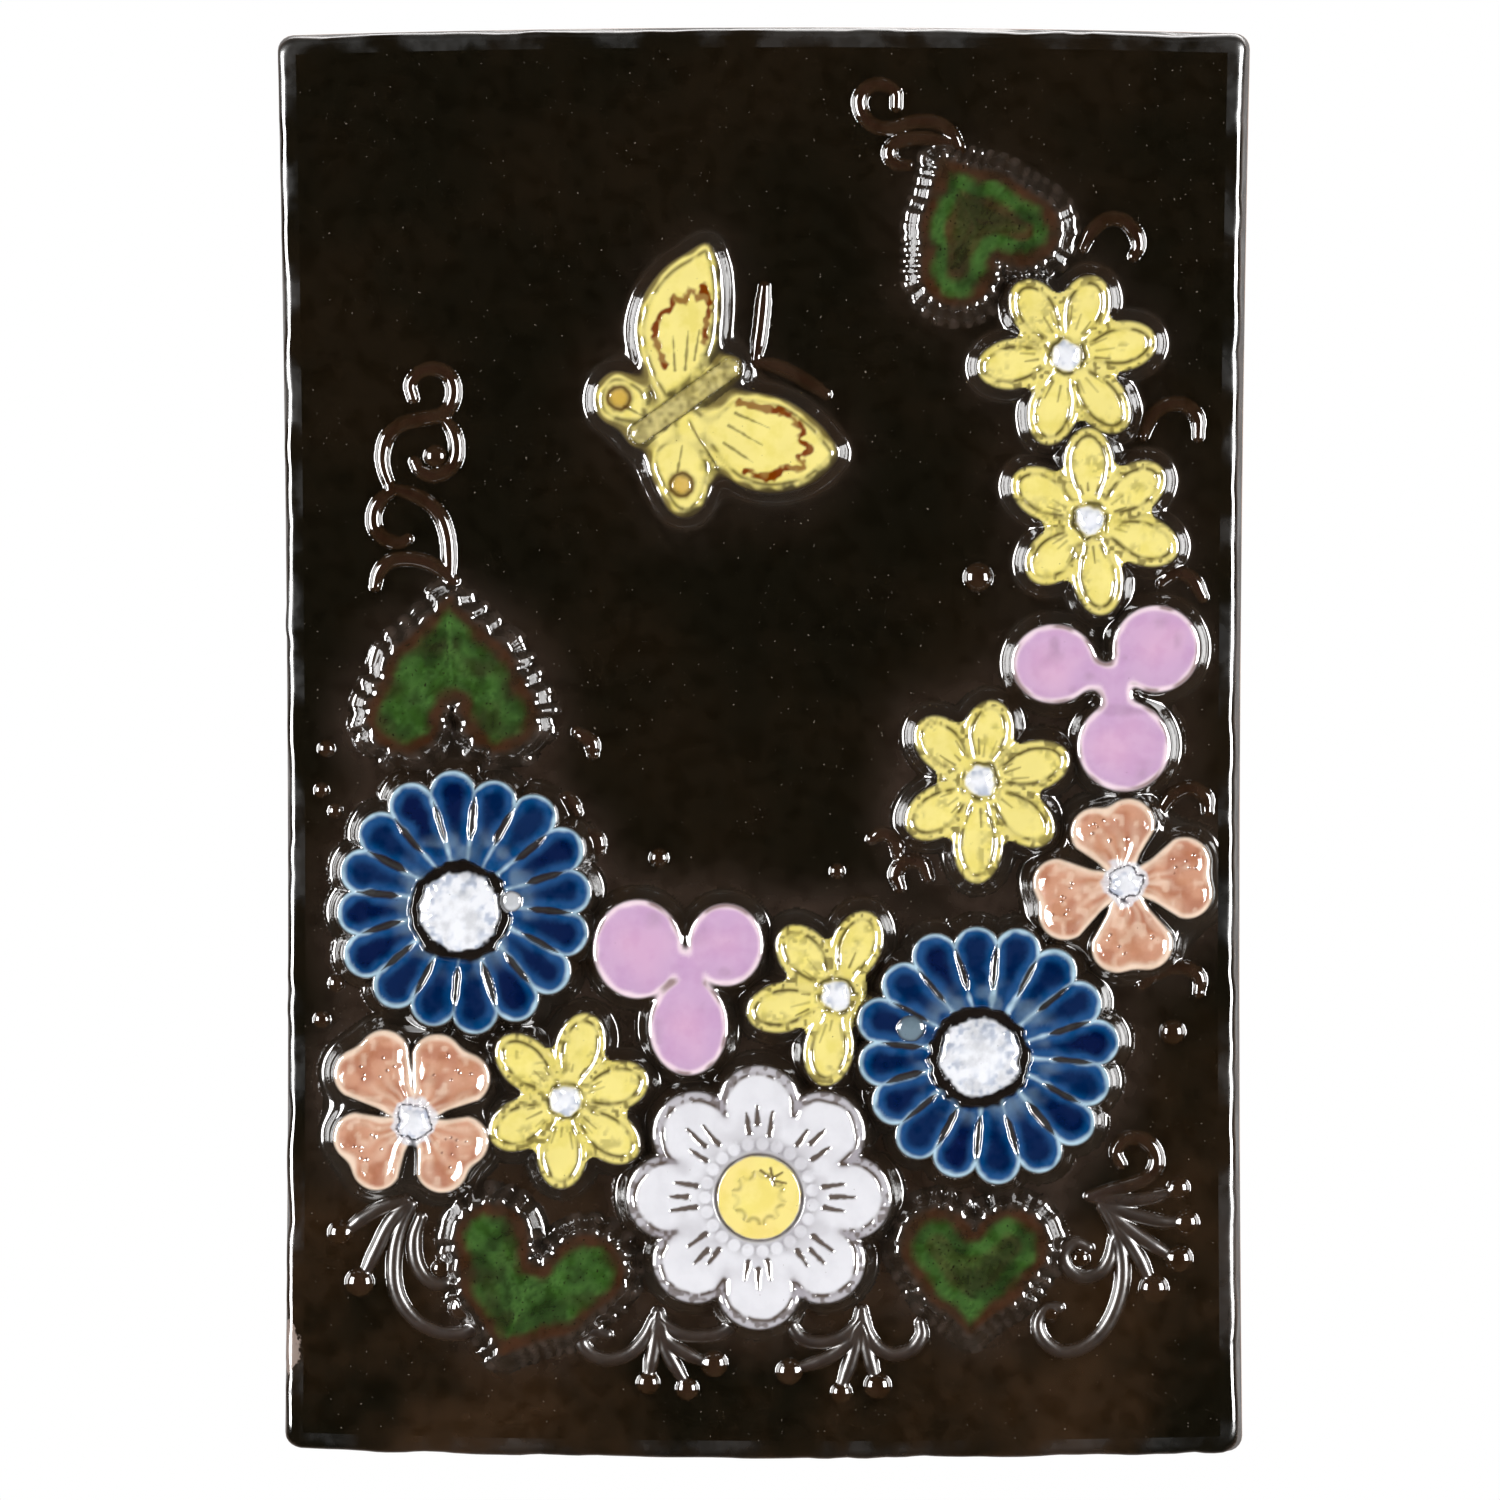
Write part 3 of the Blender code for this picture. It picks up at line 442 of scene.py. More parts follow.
def lilac_flower(number, centre, lobes):
    win = window(centre, FLOWER_REACH + 3)
    u, v = U[win], V[win]
    parts = []
    hearts = np.zeros_like(u)
    for middle, half_u, half_v in lobes:
        parts.append(oval(u - middle[0], v - middle[1], half_u, half_v))
        reach = np.hypot(u - middle[0], v - middle[1])
        hearts = np.maximum(hearts, smooth(half_u, 0, reach + 5.0 * sway(5.0, 44, win)))
    for middle, _, _ in lobes:
        parts.append(bar(u, v, centre, middle, LILAC_WEB - 0.5, LILAC_WEB))
    d = join(parts, 1.6)
    inner = -d
    h = wall(d, LILAC_HEIGHT) + 0.12 * line_at(inner, 0.4, 0.4) - 0.35 * smooth(0.6, 3.0, inner)
    ragged = inner + 0.55 * sway(2.2, 41, win)
    pool = smooth(0.2, 1.1, ragged)
    stain = patches(0.7, 1.0, 3.6, 43 + number, win) * (0.3 + 0.7 * cloud(1.6, 46, win))
    thin = patches(0.35, 0.75, 3.0, 45, win)
    colour = coated(LILAC_RIM, (LILAC, pool), (LILAC_PINK, 0.75 * hearts * pool),
                    (rgb(190, 150, 194), 0.3 * cloud(3.0, 42, win) * pool),
                    (rgb(150, 122, 142), 0.6 * stain * smooth(0.3, 1.2, inner)),
                    (rgb(120, 92, 84), 0.8 * thin * line_at(d, 0.0, 0.4)),
                    (wall_colour(win), smooth(0.0, 0.6, d)))
    lay(win, number, d, h, colour, 0.07)


# Salmon flowers: the centre, then the middles of the petals
SALMON_HEIGHT = 4.8
SALMON_DOME = 3.5
SALMON_FLOWERS = [
    ((75.0, -27.9), [(72.5, -17.3), (86.9, -26.9), (76.4, -40.2), (62.5, -31.0)]),
    ((-71.4, -77.3), [(-79.8, -66.2), (-64.2, -67.1), (-80.6, -83.3), (-63.9, -83.7)]),
]


def salmon_flower(number, centre, middles):
    win = window(centre, FLOWER_REACH)
    random = np.random.default_rng(200 + number)
    u, v, r = centred(win, centre)
    petals = []
    flutes = np.zeros_like(u)
    holes = np.zeros_like(u)
    wobble = cloud(3.0, 53 + number, win)
    for middle in middles:
        run = (middle[0] - centre[0], middle[1] - centre[1])
        reach = math.hypot(*run)
        x, y = turned(u, v, unit(run))
        wide = 3.3 + 0.5 * (random.random() - 0.5)
        lobes = [bar(x, y, (4.6, 0), (reach + 0.6, side * wide), 2.5, 4.6 + 0.5 * random.random())
                 for side in (-1, 1)]
        petal = join(lobes, 2.2)
        petals.append(petal)
        spread = np.arctan2(y, np.maximum(x - 2.0, 0.1))
        ribs = 0.5 + 0.5 * np.cos(spread * 15.0 + 5.0 * wobble)
        flutes = np.maximum(flutes, ribs * smooth(14.5, 7.5, x) * (petal < -0.3))
        for _ in range(8):
            hole_x = reach - 2.5 + 5.5 * random.random()
            hole_y = 9.5 * random.random() - 4.75
            hole = 0.25 + 0.25 * random.random()
            holes = np.maximum(holes, smooth(hole, hole * 0.3, np.hypot(x - hole_x, y - hole_y)))
    nearest = np.min(petals, axis=0)
    body = join(petals + [r - 6.0], 5.0)
    lay(win, number, body - 0.6, wall(body - 0.6, 2.9), wall_colour(win), 0.11)
    inner = -nearest
    h = wall(nearest, SALMON_HEIGHT, 2.4) + 0.15 * line_at(inner, 0.5, 0.4) - 0.65 * smooth(0.6, 2.6, inner)
    lumps = sway(2.0, 55, win)
    h = h + (0.26 * flutes + 0.25 * lumps - 0.25 * holes) * smooth(0.6, 1.6, inner)
    pool = smooth(0.1, 1.3, inner + 0.8 * (wobble - 0.5))
    pale = patches(0.6, 0.85, 1.5, 54 + number, win)
    colour = coated(SALMON_RIM, (SALMON, pool),
                    (SALMON_DEEP, 0.75 * patches(0.35, 0.8, 2.6, 52, win) * pool),
                    (SALMON_RIM, 0.4 * flutes * pool), (SALMON_RIM, 0.45 * pale * pool),
                    (rgb(112, 66, 50), 0.75 * holes * pool),
                    (wall_colour(win), smooth(0.0, 0.6, nearest)))
    lay(win, number, nearest, h, colour, 0.08, edge=0.2)
    ragged = r + 1.5 * sway(1.5, 56 + number, win)
    froth = cloud(0.8, 27, win)
    dome = boss(ragged, 0, SALMON_DOME, 3.3, 2.7) + 0.22 * (froth - 0.5)
    spill = smooth(SALMON_DOME + 1.7, SALMON_DOME + 0.9, ragged)
    tint[win] = blend(tint[win], WHITE, 0.85 * spill)
    near = ragged - SALMON_DOME
    colour = dome_colour(win, ragged, SALMON_DOME)
    lay(win, number, near, np.where(near < 0, dome, -1.0), colour, 0.1, edge=0.2)


# Blue flowers: the centre of the petals, that of the dome, and a stray drop of glaze with its radius
BLUE_HEIGHT = 5.8
BLUE_RADIUS = 26.4
BLUE_PETALS = 16
BLUE_PETAL_END = 4.4
BLUE_DOME = 8.4
BLUE_TURN = 0.1
DROP_LEVEL = 4.9
BLUE_FLOWERS = [
    ((-61.0, -32.1), (-61.9, -34.0), ((-51.2, -31.9), 2.1, rgb(214, 216, 220))),
    ((46.7, -62.9), (45.2, -63.9), ((31.0, -57.9), 2.8, rgb(112, 130, 142))),
]


def glaze_drop(number, centre, radius, colour):
    win = window(centre, radius + 4)
    reach = centred(win, centre)[2] + 0.4 * sway(1.5, 68, win)
    h = boss(reach, 0, radius, DROP_LEVEL, 0.45 * radius) - 2 * np.maximum(reach - radius, 0)
    rim = line_at(reach, radius, 0.35)
    lay(win, number, reach - radius, h, blend(colour, SLIT_BROWN, 0.8 * rim), 0.05, edge=0.2)


def blue_flower(number, centre, dome_centre, drop):
    win = window(centre, LARGE_REACH)
    u, v, r = centred(win, centre)
    step = 2 * math.pi / BLUE_PETALS
    angle = np.arctan2(v, u) - BLUE_TURN
    turn = np.round(angle / step)
    local = angle - turn * step
    random = np.random.default_rng(60 + number).random((BLUE_PETALS, 4))
    which = turn.astype(int) % BLUE_PETALS
    reach = BLUE_RADIUS + 1.6 * (random[which, 0] - 0.5)
    x, y = r * np.cos(local), r * np.sin(local)
    end = BLUE_PETAL_END
    d = np.hypot(np.maximum(x - (reach - end), 0), y) - end
    side = r * (step / 2 - np.abs(local))
    d = np.where(x < reach - end, np.maximum(r - reach, -side), d)
    d = join([d, r - (BLUE_RADIUS - 1.6 * end)], 0.8)
    ripple = sway(1.6, 64, win)
    inner = np.minimum(-d, side) + 0.35 * ripple
    width = 0.75 * smooth(12.6, 15.5, r) * smooth(23.0, 18.5, r) * (0.5 + 0.8 * random[which, 2])
    slit = smooth(width + 0.12, width - 0.2, side + 0.25 * ripple) * (width > 0.03)
    crest = smooth(0.2, 1.0, side) * (1 - 0.5 * smooth(1.0, 2.0, inner))
    dish = smooth(0.5, 3.6, inner) * smooth(11.0, 16.0, r)
    h = -0.3 - 0.4 * dish - 0.4 * slit - 0.16 * line_at(side, 0, 0.5) + 0.08 * crest
    h = wall(d, BLUE_HEIGHT) + h * smooth(0.4, -0.4, d)
    q = centred(win, dome_centre)[2]
    moat = smooth(10.9, 9.9, q + 0.8 * ripple)
    h = h - (h - 3.9) * moat
    ragged = q + 0.9 * sway(2.0, 67 + number, win)
    froth = cloud(0.9, 27, win) + cloud(2.2, 28, win)
    dome = boss(ragged, 0, BLUE_DOME, 4.2, 2.15) + 0.18 * (froth - 1)
    h = np.where(ragged < BLUE_DOME, dome, h)
    pool_edge = inner + 1.2 * sway(2.6, 61, win)
    deep = smooth(0.9, 2.7, pool_edge) * (0.65 + 0.35 * smooth(12, 18, r))
    deep = deep * (0.82 + 0.18 * random[which, 1])
    thinned = 0.5 * cloud(1.9, 66 + number, win)
    pale = smooth(17.0, 11.5, r) * patches(0.3, 0.8, 2.6, 65, win)
    ring = smooth(10.7, 10.1, q + 1.2 * ripple)
    colour = coated(BLUE_RIM, (BLUE_MID, smooth(0.2, 1.25, inner + 0.3 * random[which, 3] + thinned)),
                    (BLUE_DEEP, deep), (rgb(120, 142, 160), 0.5 * pale), (SLIT_BROWN, 0.95 * slit),
                    (wall_colour(win), smooth(0.0, 0.6, d)), (rgb(34, 28, 24), ring))
    edge = ragged + 0.7 * cloud(0.8, 63, win)
    white = dome_colour(win, ragged, BLUE_DOME)
    colour = blend(colour, white, smooth(BLUE_DOME + 0.5, BLUE_DOME - 0.35, edge))
    lay(win, number, d, h, colour, 0.06)
    glaze_drop(number, *drop)


# The white daisy
DAISY_CENTRE = (-0.2, -92.9)
DAISY_HEIGHT = 5.6
DAISY_RADIUS = 26.9
DAISY_PETALS = 8
DAISY_PETAL_END = 8.4
DAISY_DISC = 8.7
BEAD_RING = 11.1
BEAD_COUNT = 23
BEAD_RADIUS = 1.25
CRESCENTS = 10
DAISY_HEART = 19.6
DISC_SCRAWL = [((0.4, 5.6), (2.6, 3.9)), ((2.6, 3.9), (4.8, 5.2)), ((2.4, 6.0), (3.2, 2.6)),
               ((3.6, 3.4), (5.6, 3.0))]


def daisy(number):
    win = window(DAISY_CENTRE, LARGE_REACH)
    random = np.random.default_rng(300)
    u, v, r = centred(win, DAISY_CENTRE)
    step = 2 * math.pi / DAISY_PETALS
    angle = np.arctan2(v, u)
    parts = [r - DAISY_HEART]
    strokes = np.zeros_like(u)
    for k in range(DAISY_PETALS):
        x, y = turned(u, v, (math.cos(k * step), math.sin(k * step)))
        parts.append(np.hypot(x - (DAISY_RADIUS - DAISY_PETAL_END), y) - DAISY_PETAL_END)
        for side in (-1, 0, 1):
            start = (15.2 if side == 0 else 13.4) + 0.8 * (random.random() - 0.5)
            slant = side * 2.1 + 0.7 * (random.random() - 0.5)
            end = start + 3.4 + 1.6 * random.random()
            mark = bar(x, y, (start, slant), (end, slant * 1.3), 0.62, 0.3)
            strokes = np.maximum(strokes, smooth(0.2, -0.15, mark + 0.25 * sway(0.8, 76, win)))
    d = join(parts, 0.8)
    inner = -d
    side = r * np.abs(np.sin((np.mod(angle, step) - step / 2)))
    crease = line_at(side, 0, 1.3) * smooth(14.0, 20.5, r)
    broken = patches(0.3, 0.6, 1.7, 71, win)
    groove = line_at(inner + 0.7 * sway(3.0, 77, win), 1.45, 0.42) * (0.25 + 0.75 * broken)
    h = wall(d, DAISY_HEIGHT - 0.2) + 0.15 * line_at(inner, 0.5, 0.4) - 0.35 * groove - 0.55 * crease
    h = h - 0.35 * strokes + 0.35 * smooth(1.8, 5.0, inner) - 0.6 * smooth(19.0, 13.0, r)
    h = h + 0.3 * sway(3.0, 78, win) * smooth(0.5, 2.5, inner)
    bead_step = 2 * math.pi / BEAD_COUNT
    bead_angle = np.mod(angle, bead_step) - bead_step / 2
    bead = np.hypot(r * np.cos(bead_angle) - BEAD_RING, r * np.sin(bead_angle))
    bead_top = DAISY_HEIGHT - 1.0 + 0.75 * np.sqrt(np.clip(1 - (bead / BEAD_RADIUS) ** 2, 0, 1))
    h = np.where(bead < BEAD_RADIUS, np.maximum(h, bead_top), h)
    disc = DAISY_HEIGHT - 0.25 + 0.5 * smooth(DAISY_DISC, 0, r)
    h = np.where(r < DAISY_DISC, disc, h) - 0.7 * line_at(r, DAISY_DISC + 0.25, 0.3)
    crescent_step = 2 * math.pi / CRESCENTS
    c = np.mod(angle + 0.2, crescent_step) - crescent_step / 2
    cx, cy = r * np.cos(c) - 4.6, r * np.sin(c)
    crescent = line_at(np.hypot(cx - 1.0, cy), 1.25, 0.45) * (cx < 0.9) * (0.4 + 0.6 * broken)
    scrawl = np.zeros_like(u)
    for a, b in DISC_SCRAWL:
        scrawl = np.maximum(scrawl, smooth(0.25, -0.1, bar(u, v, a, b, 0.25, 0.14)))
    h = h - 0.25 * crescent - 0.2 * scrawl * (r < DAISY_DISC)
    band = smooth(2.0, 1.2, inner)
    # Painted shade: grey along the sunken creases between the petals, with random grey patches towards the
    # disc as well
    crease_shade_and_patches = 0.5 * crease + 0.35 * patches(0.35, 0.75, 3.2, 72, win) * smooth(21, 12, r)
    speck = patches(0.5, 0.72, 0.9, 73, win)
    # Painted shade: a darker grey in the gaps between the raised beads round the disc
    between = smooth(BEAD_RADIUS - 0.2, BEAD_RADIUS + 0.3, bead) * line_at(r, BEAD_RING - 0.4, 1.5)
    ring = line_at(r, DAISY_DISC + 0.15, 0.4) * (0.5 + 0.5 * cloud(2.0, 74, win))
    colour = coated(WHITE, (DAISY_BAND, np.clip(0.7 * band + crease_shade_and_patches, 0, 1)), (STROKE, 0.95 * groove),
                    (STROKE, 0.7 * speck * band), (STROKE, 0.95 * strokes),
                    (DAISY_BAND * 0.7, 0.75 * between), (wall_colour(win), smooth(-0.1, 0.5, d)),
                    (rgb(74, 58, 38), ring))
    yellow = smooth(DAISY_DISC + 0.05, DAISY_DISC - 0.4, r + 0.3 * sway(1.2, 79, win))
    face = coated(YELLOW, (rgb(240, 218, 134), cloud(5.0, 75, win)), (OLIVE, 0.5 * crescent),
                  (rgb(84, 62, 34), 0.85 * scrawl))
    colour = blend(colour, face, yellow)
    lay(win, number, d, h, colour, 0.12)


# Heart-shaped leaves: the tip, the centres of the two lobes, the pitch of the crimps, and how brown
# the middle is
LEAF_HEIGHT = 4.2
LEAF_LOBE = 7.9
LEAF_MIDDLE = 5.4
LEAF_TIP = 1.0
LEAF_WALL = 4.1  # a leaf's crimped wall runs out further than the flowers' walls
LEAF_MARGIN = 2.6
LEAVES = [
    ((37.5, 120.0), (40.6, 98.1), (53.7, 106.2), 2.3, 0.85),
    ((-64.2, 29.8), (-73.2, 6.4), (-53.6, 6.6), 4.2, 0),
    ((-53.1, -124.8), (-55.4, -102.1), (-35.8, -108.5), 3.0, 0),
    ((43.3, -120.0), (36.7, -102.9), (51.7, -102.9), 2.7, 0.5),
]


def outline_points(distance_at, centre, far, count):
    """Where an outline lies in each direction from its centre."""
    angles = np.linspace(0, 2 * math.pi, count, endpoint=False)
    reach = np.linspace(far, 0.5, 200)
    turn, radius = np.meshgrid(angles, reach)
    d = distance_at(centre[0] + radius * np.cos(turn), centre[1] + radius * np.sin(turn))
    first = np.maximum(np.argmax(d < 0, axis=0), 1)
    every = np.arange(count)
    outer, inner = d[first - 1, every], d[first, every]
    edge = reach[first - 1] + (reach[first] - reach[first - 1]) * outer / (outer - inner)
    return [np.array(p) for p in zip(centre[0] + edge * np.cos(angles), centre[1] + edge * np.sin(angles))]


def leaf(number, tip, lobe_a, lobe_b, pitch, brown_middle):
    middle = (np.array(lobe_a) + np.array(lobe_b)) / 2
    to_tip = np.array(tip) - middle
    centre = middle + to_tip * 0.33
    outward = unit(np.array(lobe_a) - middle)

    def heart(u, v):
        bars = []
        for lobe, side in ((lobe_a, 1), (lobe_b, -1)):
            knee = np.array(lobe) + to_tip * 0.42 - outward * side * 2.9
            bars.append(bar(u, v, lobe, knee, LEAF_LOBE, LEAF_LOBE - 1.9))
            bars.append(bar(u, v, knee, tip, LEAF_LOBE - 1.9, LEAF_TIP))
        return join(bars + [np.hypot(u - centre[0], v - centre[1]) - LEAF_MIDDLE], 1.2)

    win = window(centre, LARGE_REACH)
    u, v = U[win], V[win]
    outline = outline_points(heart, centre, 30.0, 150)
    d, turn = loop_distance(u, v, outline)
    length = sum(math.hypot(*(b - a)) for a, b in zip(outline, outline[1:] + outline[:1]))
    count = round(length / pitch)
    wobble = sway(5.0, 83, win)
    wave = np.cos(2 * math.pi * count * turn + 5.0 * wobble)
    depth = (0.2 + 0.7 * patches(0.2, 0.7, 7.0, 84, win)) * smooth(LEAF_WALL + 1.5, LEAF_WALL - 1.5, d)
    d = d - 0.09 * pitch * wave * depth * smooth(-1.6, 0.6, d)
    inner = -d
    patch = cloud(3.2, 81, win)
    fine = cloud(1.2, 86, win)
    pool = smooth(LEAF_MARGIN - 1.0, LEAF_MARGIN + 1.1, inner + 1.4 * (patch - 0.5) + 0.6 * (fine - 0.5))
    floor = smooth(LEAF_MARGIN - 1.4, LEAF_MARGIN + 0.6, inner)
    h = wall(d, LEAF_HEIGHT, LEAF_WALL) - 0.2 * floor + 0.12 * smooth(3.5, 8.0, inner)
    h = h + 0.06 * pitch * wave * depth * smooth(-1.2, 0.8, d) + 0.1 * line_at(d, -0.7, 0.7)
    x, y = turned(u - centre[0], v - centre[1], unit(np.array(tip) - centre))
    reach = math.hypot(*(np.array(tip) - centre))
    veins = line_at(y, 0, 0.6) * smooth(-reach * 0.35, 0, x) * smooth(reach, reach * 0.5, x)
    for side in (-1, 1):
        for k, start in enumerate((-0.12, 0.12, 0.34)):
            root = start * reach
            rib = bar(x, y, (root, 0), (root - 4.5 - k, side * (8.0 - 1.6 * k)), 0.6, 0.1)
            veins = np.maximum(veins, 0.8 * smooth(1.5, -0.5, rib + 0.8 * (fine - 0.5)))
    h = h - 0.2 * veins * floor + 0.16 * (patch - 0.5) * floor
    lightness = 0.15 + 0.9 * smooth(0.25, 0.75, patch) + 0.3 * (fine - 0.5)
    green = blend(LEAF_DARK, LEAF_GREEN, np.clip(lightness, 0, 1))
    if brown_middle:
        ring = smooth(4.8, 6.2, inner + 1.2 * (patch - 0.5))
        green = blend(green, blend(LEAF_BROWN, LEAF_RUST, patch), brown_middle * ring * (1 - 0.5 * veins))
        h = h - 0.15 * ring
    else:
        green = blend(green, LEAF_BROWN, 0.5 * patches(0.5, 0.8, 4.2, 87 + number, win))
        green = blend(green, LEAF_GREEN * 1.5, 0.6 * veins)
    green = green * (0.7 + 0.6 * cloud(0.55, 88, win))[..., None]
    margin = blend(LEAF_RUST, LEAF_BROWN, 0.2 + 0.7 * cloud(2.0, 82, win))
    crest = blend(rgb(74, 62, 54), WALL, cloud(1.5, 85, win))
    colour = coated(margin, (green, pool),
                    (blend(wall_colour(win), crest, 0.5 + 0.5 * wave), smooth(-0.9, 0.4, d)))
    lay(win, number, d, h, colour, 0.07)


# The butterfly: its wings' outlines, their eyes, the body between them and the lines on the wings
BUTTERFLY_CENTRE = (-9.0, 75.3)
WING_HEIGHT = 4.2
WINGS = [
    [(-10.6, 103.1), (-8.3, 97.1), (-8.1, 88.7), (-9.0, 82.1), (-11.9, 76.7), (-17.1, 72.1), (-20.4, 71.7),
     (-23.7, 77.9), (-25.4, 85.0), (-24.0, 91.9), (-19.8, 97.9), (-15.0, 101.2)],
    [(-23.3, 66.9), (-27.1, 65.8), (-31.2, 66.7), (-33.7, 69.6), (-33.5, 73.7), (-30.6, 76.7),
     (-26.7, 76.2), (-22.9, 72.9)],
    [(-3.7, 72.7), (4.6, 71.2), (10.4, 67.5), (14.0, 63.7), (15.8, 59.8), (11.0, 54.8), (4.8, 52.7),
     (-0.8, 52.9), (-5.6, 55.0), (-9.8, 59.6), (-12.1, 65.0), (-8.3, 70.4)],
    [(-9.8, 58.5), (-10.4, 53.3), (-12.3, 49.2), (-15.0, 47.5), (-18.3, 48.7), (-21.2, 53.7),
     (-22.9, 59.2), (-20.0, 63.7), (-14.2, 63.7)],
]
WING_EYES = [(-29.0, 71.7), (-16.2, 53.9)]
EYE_RADIUS = 2.3
BODY_HALF_WIDTH = 2.0
BODY_ENDS = ((-24.8, 64.4), (-6.2, 77.7))
WING_ROOT = (-14.2, 66.0, 4.2)
ZIGZAGS = [
    [(-19.6, 78.5), (-21.6, 84.4), (-20.8, 88.6), (-18.3, 90.2), (-17.9, 92.3), (-15.6, 91.5),
     (-14.2, 93.8), (-12.5, 92.1), (-11.5, 94.4), (-10.6, 91.0), (-11.2, 86.5), (-11.5, 83.0)],
    [(-4.4, 70.8), (1.9, 69.4), (6.0, 68.1), (8.8, 65.0), (8.1, 63.1), (10.2, 61.0), (7.9, 59.6),
     (9.0, 57.5), (5.4, 57.3), (1.9, 55.4), (-3.1, 56.7)],
]
VEINS = [
    [(-17.5, 77.5), (-17.9, 84.4)], [(-15.4, 77.5), (-14.8, 85.4)], [(-13.5, 79.5), (-12.5, 85.5)],
    [(-5.0, 68.5), (2.0, 65.5)], [(-6.5, 66.0), (0.5, 62.0)], [(-7.5, 62.5), (-1.5, 58.5)],
    [(-28.0, 70.0), (-23.5, 67.8)], [(-17.0, 56.5), (-16.0, 62.0)],
]


def butterfly(number):
    win = window(BUTTERFLY_CENTRE, LARGE_REACH + 3)
    u, v = U[win], V[win]
    fine = sway(0.9, 91, win)
    patch = cloud(2.2, 96, win)
    rust = np.zeros_like(u)
    for line in ZIGZAGS:
        distance, _ = line_distance(u, v, smooth_line(line, False, 4))
        thick = 0.4 + 0.55 * patch
        rust = np.maximum(rust, smooth(thick + 0.35, thick - 0.35, distance + 0.8 * fine))
    thin = np.zeros_like(u)
    for line in VEINS:
        distance, along = line_distance(u, v, [np.array(p) for p in line])
        thin = np.maximum(thin, smooth(0.55, 0.1, distance + 0.25 * along + 0.3 * fine))
    wings = [loop_distance(u, v, smooth_line(wing, True, 5))[0] for wing in WINGS]
    body = bar(u, v, BODY_ENDS[0], BODY_ENDS[1], BODY_HALF_WIDTH, BODY_HALF_WIDTH)
    root = np.hypot(u - WING_ROOT[0], v - WING_ROOT[1]) - WING_ROOT[2]
    d = join(wings + [root, body - 0.4], 4.0)
    fall_v, fall_u = np.gradient(d)
    facing = (0.8 * fall_u - 0.6 * fall_v) / np.maximum(np.hypot(fall_u, fall_v), 1e-6)
    outer = -np.min(wings, axis=0)
    inner = np.maximum(outer, -d)
    seams = np.sort(wings, axis=0)
    seam = line_at(seams[0] - seams[1], 0, 0.5) * (d < -0.3) * smooth(3.0, 4.5, body + 2.0)
    broken = patches(0.3, 0.6, 1.8, 92, win)
    groove = line_at(-d, 1.4, 0.42) * (0.3 + 0.7 * broken)
    eyes = np.zeros_like(u)
    eye_fill = np.zeros_like(u)
    for eye in WING_EYES:
        q = np.hypot(u - eye[0], v - eye[1]) + 0.3 * fine
        eyes = np.maximum(eyes, line_at(q, EYE_RADIUS, 0.6))
        eye_fill = np.maximum(eye_fill, smooth(EYE_RADIUS, EYE_RADIUS - 0.7, q))
    h = wall(d, WING_HEIGHT) + 0.15 * line_at(-d, 0.5, 0.4) - 0.2 * smooth(0.8, 2.0, inner)
    h = h - 0.2 * groove - 0.2 * rust - 0.15 * thin - 0.3 * eyes - 0.3 * seam + 0.15 * sway(3.0, 97, win)
    # Painted shade: a dark olive band, broken into patches, along the wings' edges that face right and down
    painted_shade_edge = smooth(2.3, 0.2, -d + 2.0 * (patch - 0.4) + 1.2 * fine) * smooth(0.0, 0.7, facing)
    colour = coated(YELLOW, (YELLOW_SHADE, 0.35 * cloud(4.0, 93, win)), (OLIVE, 0.8 * groove),
                    (WING_LINE, rust * (0.82 + 0.18 * broken)), (OLIVE, 0.75 * thin), (OLIVE, 0.8 * seam),
                    (rgb(204, 164, 84), 0.8 * eye_fill), (rgb(84, 54, 28), 0.95 * eyes),
                    (rgb(84, 66, 36), 0.85 * smooth(0.9, 0.1, -d + 0.8 * (patch - 0.5))),
                    (rgb(58, 50, 32), 0.85 * painted_shade_edge), (wall_colour(win), smooth(-0.1, 0.5, d)))
    lay(win, number, d, h, colour, 0.09)
    lumps = 0.5 * cloud(1.1, 94, win) + 0.5 * cloud(0.8, 98, win)
    rise = np.sqrt(np.clip(1 - ((body + BODY_HALF_WIDTH) / BODY_HALF_WIDTH) ** 2, 0, 1))
    h = WING_HEIGHT - 0.5 + 1.4 * rise + 0.3 * (lumps - 0.5) * rise
    h = np.where(body < 0.05, h, -1.0)
    colour = blend(BODY_OLIVE, OLIVE, np.clip(1.1 * lumps - 0.3, 0, 1))
    lay(win, number, body, h, colour, 0.13, edge=0.15)
    beside = line_at(body, 0.2, 0.28) * (height[win] > 3)
    height[win] -= 0.3 * beside
    tint[win] = blend(tint[win], OLIVE * 0.8, 0.6 * beside)


